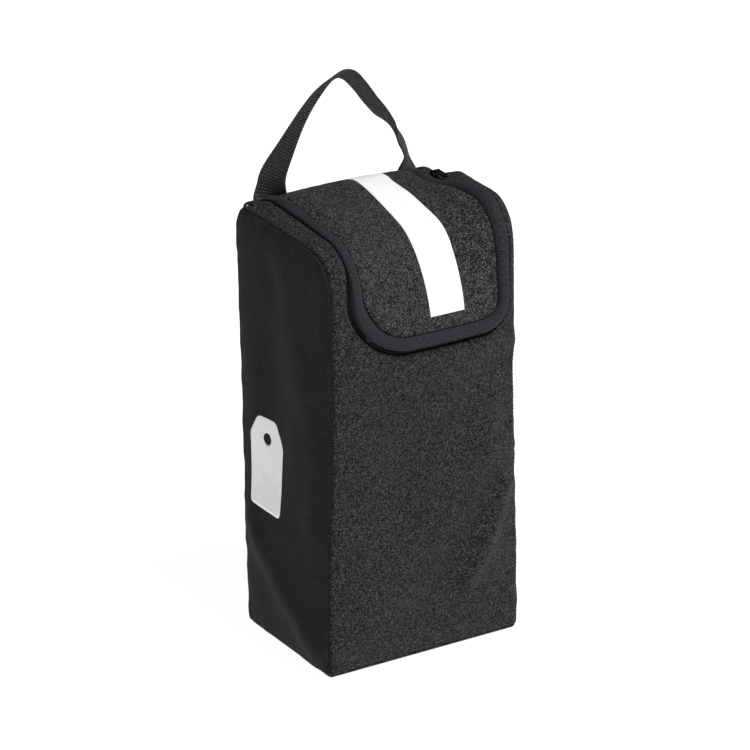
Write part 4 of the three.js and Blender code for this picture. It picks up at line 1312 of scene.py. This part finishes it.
def handle():
    """One strap of webbing, sewn in at both ends, its face turned outwards round the loop."""
    crease = wrap(0, S_HINGE, CREASE_LIFT)
    low = crease[2] - 3
    route = np.array([(x - HANDLE_SPAN, crease[2] + HANDLE_AXIS + z) for x, z in HANDLE_RISE])
    line = rounded_route(route)
    ends = [[(end[0], low), (end[0], crease[2] + HANDLE_AXIS / 2)] for end in (line[0], line[-1])]
    line = np.vstack([ends[0], line, ends[1][::-1]])
    sunk = crease[2] + HANDLE_AXIS - low
    far = np.concatenate([[0], np.cumsum(np.linalg.norm(np.diff(line, axis=0), axis=1))])
    steps = np.arange(0, far[-1], 0.4)
    kernel = np.hanning(31) / np.hanning(31).sum()
    even = np.column_stack([np.interp(steps, far, line[:, k]) for k in (0, 1)])
    padded = np.vstack([2 * even[0] - even[15:0:-1], even, 2 * even[-1] - even[-2:-17:-1]])
    even = np.column_stack([np.convolve(padded[:, k], kernel, "valid") for k in (0, 1)])
    at = np.column_stack([even[:, 0], np.full(len(even), crease[1]), even[:, 1]])
    along = unit(np.gradient(at, axis=0))
    share = (steps - sunk) / (steps[-1] - 2 * sunk)
    turn = np.radians(smooth_through(share, HANDLE_TURN))[:, None]
    outward = np.column_stack([-along[:, 2], np.zeros(len(at)), along[:, 0]])
    face = np.cos(turn) * [0, -1, 0] + np.sin(turn) * outward
    across = np.cross(along, face)
    return at, face, across, steps


def smooth_through(x, stations):
    """A curve with even slopes through the stations."""
    px, py = np.array(stations, float).T
    slope = np.gradient(py, px)
    i = np.clip(np.searchsorted(px, x) - 1, 0, len(px) - 2)
    h = px[i + 1] - px[i]
    t = (x - px[i]) / h
    return (
        (2 * t**3 - 3 * t**2 + 1) * py[i]
        + (t**3 - 2 * t**2 + t) * h * slope[i]
        + (3 * t**2 - 2 * t**3) * py[i + 1]
        + (t**3 - t**2) * h * slope[i + 1]
    )


WEB_RIB, WEB_YARN, SELVEDGE = 2.4, 1.0, 0.8


def handle_strap():
    at, face, across, steps = handle()
    half, thick_half = HANDLE_WIDTH / 2, HANDLE_THICK / 2
    flat_u = between(-half + SELVEDGE, half - SELVEDGE, 0.5)
    selvedge = np.linspace(0, math.pi, 7)[1:-1]
    turned = half - SELVEDGE + SELVEDGE * np.sin(selvedge)
    u = np.concatenate([flat_u, turned, flat_u[::-1], -turned])
    f = np.concatenate([0 * flat_u + 1, np.cos(selvedge), 0 * flat_u - 1, -np.cos(selvedge)]) * thick_half
    v = steps[:, None]
    row = np.floor(v / WEB_RIB)
    rib = np.abs(np.sin(math.pi * v / WEB_RIB)) ** 0.7
    yarn = np.abs(np.sin(math.pi * (u / WEB_YARN + 0.5 * row))) ** 0.6
    relief = 0.32 * rib * (0.55 + 0.45 * yarn) - 0.2
    f = f + np.sign(f) * relief * smooth(np.abs(f), 0.2, thick_half)
    cup = 0.5 * (1 - (u / half) ** 2)
    points = at[:, None] + across[:, None] * u[:, None] + face[:, None] * (f + cup * 0.6)[..., None]
    piece = swept("handle_webbing", points, u, steps, points - at[:, None])
    dressed(piece, "webbing")
    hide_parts("handle_strap", "handle_base_left", "handle_base_right")
    crease = wrap(0, S_HINGE, CREASE_LIFT) * MM
    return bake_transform(piece)


# ---- metal pieces carried over from the CAD model ----
def metal():
    for node in ("slider_body", "slider_bridge", "pull_tab", "zip_end_stop_left", "zip_end_stop_right"):
        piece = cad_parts[node]
        bevel = piece.modifiers.new("Soft edges", "BEVEL")
        bevel.width = 0.3 * MM
        bevel.segments = 3
        bevel.limit_method = "ANGLE"
        bevel.angle_limit = math.radians(40)
        piece.data.materials.clear()
        piece.data.materials.append(LOOKS["zip_metal"])


# ---- stage ----
CAMERA_PLACE = Vector((-1.4203, -2.2944, 1.2961))
CAMERA_AIM = Vector((0.4879, 0.7911, -0.3689))
CAMERA_ROLL = math.radians(-0.36)


def camera():
    lens = bpy.data.cameras.new("camera")
    lens.lens = 170.7
    lens.sensor_width = 36
    eye = bpy.data.objects.new("camera", lens)
    bpy.context.scene.collection.objects.link(eye)
    level = CAMERA_AIM.to_track_quat("-Z", "Y").to_matrix().to_4x4()
    eye.matrix_world = Matrix.Translation(CAMERA_PLACE) @ level @ Matrix.Rotation(CAMERA_ROLL, 4, "Z")
    bpy.context.scene.camera = eye


def lamp(name, place, aim, size, power):
    light = bpy.data.lights.new(name, "AREA")
    light.shape = "DISK"
    light.size = size
    light.energy = power
    holder = bpy.data.objects.new(name, light)
    bpy.context.scene.collection.objects.link(holder)
    holder.location = place
    holder.rotation_euler = (Vector(aim) - Vector(place)).to_track_quat("-Z", "Y").to_euler()


def studio():
    scene = bpy.context.scene
    scene.view_settings.view_transform = "Standard"
    world = bpy.data.worlds.new("studio")
    world.use_nodes = True
    world.node_tree.nodes["Background"].inputs["Color"].default_value = (1, 1, 1, 1)
    world.node_tree.nodes["Background"].inputs["Strength"].default_value = 0.1
    scene.world = world
    middle = (0, 0, 0.2)
    lamp("key", (0.7, -1.6, 2.8), middle, 1.4, 105)
    lamp("fill", (-2.4, -0.8, 1.4), middle, 1.8, 4)
    mesh = bpy.data.meshes.new("floor")
    reach = 9
    corners = [(-reach, -reach, 0), (reach, -reach, 0), (reach, reach, 0), (-reach, reach, 0)]
    mesh.from_pydata(corners, [], [(0, 1, 2, 3)])
    floor = bpy.data.objects.new("floor", mesh)
    scene.collection.objects.link(floor)
    paint, _, shader = blank("floor", Roughness=0.9, Emission_Strength=0.95)
    shader.inputs["Emission Color"].default_value = (1, 1, 1, 1)
    shader.inputs["Base Color"].default_value = (0.4, 0.4, 0.4, 1)
    mesh.materials.append(paint)


camera()
studio()
front_cloth()
back_cloth()
base_cloth()
side = side_layout()
left = side_cloth(-1, "side_cloth", side, 101)
side_cloth(1, "side_mesh", side, 201)
side_mark(left)
finished_lid()
lid_lining()
lid_binding()
zip_pieces()
for way in (-1, 1):
    end_tab(way)
seam_tapes()
crease_tape()
care_label()
handle_strap()
metal()
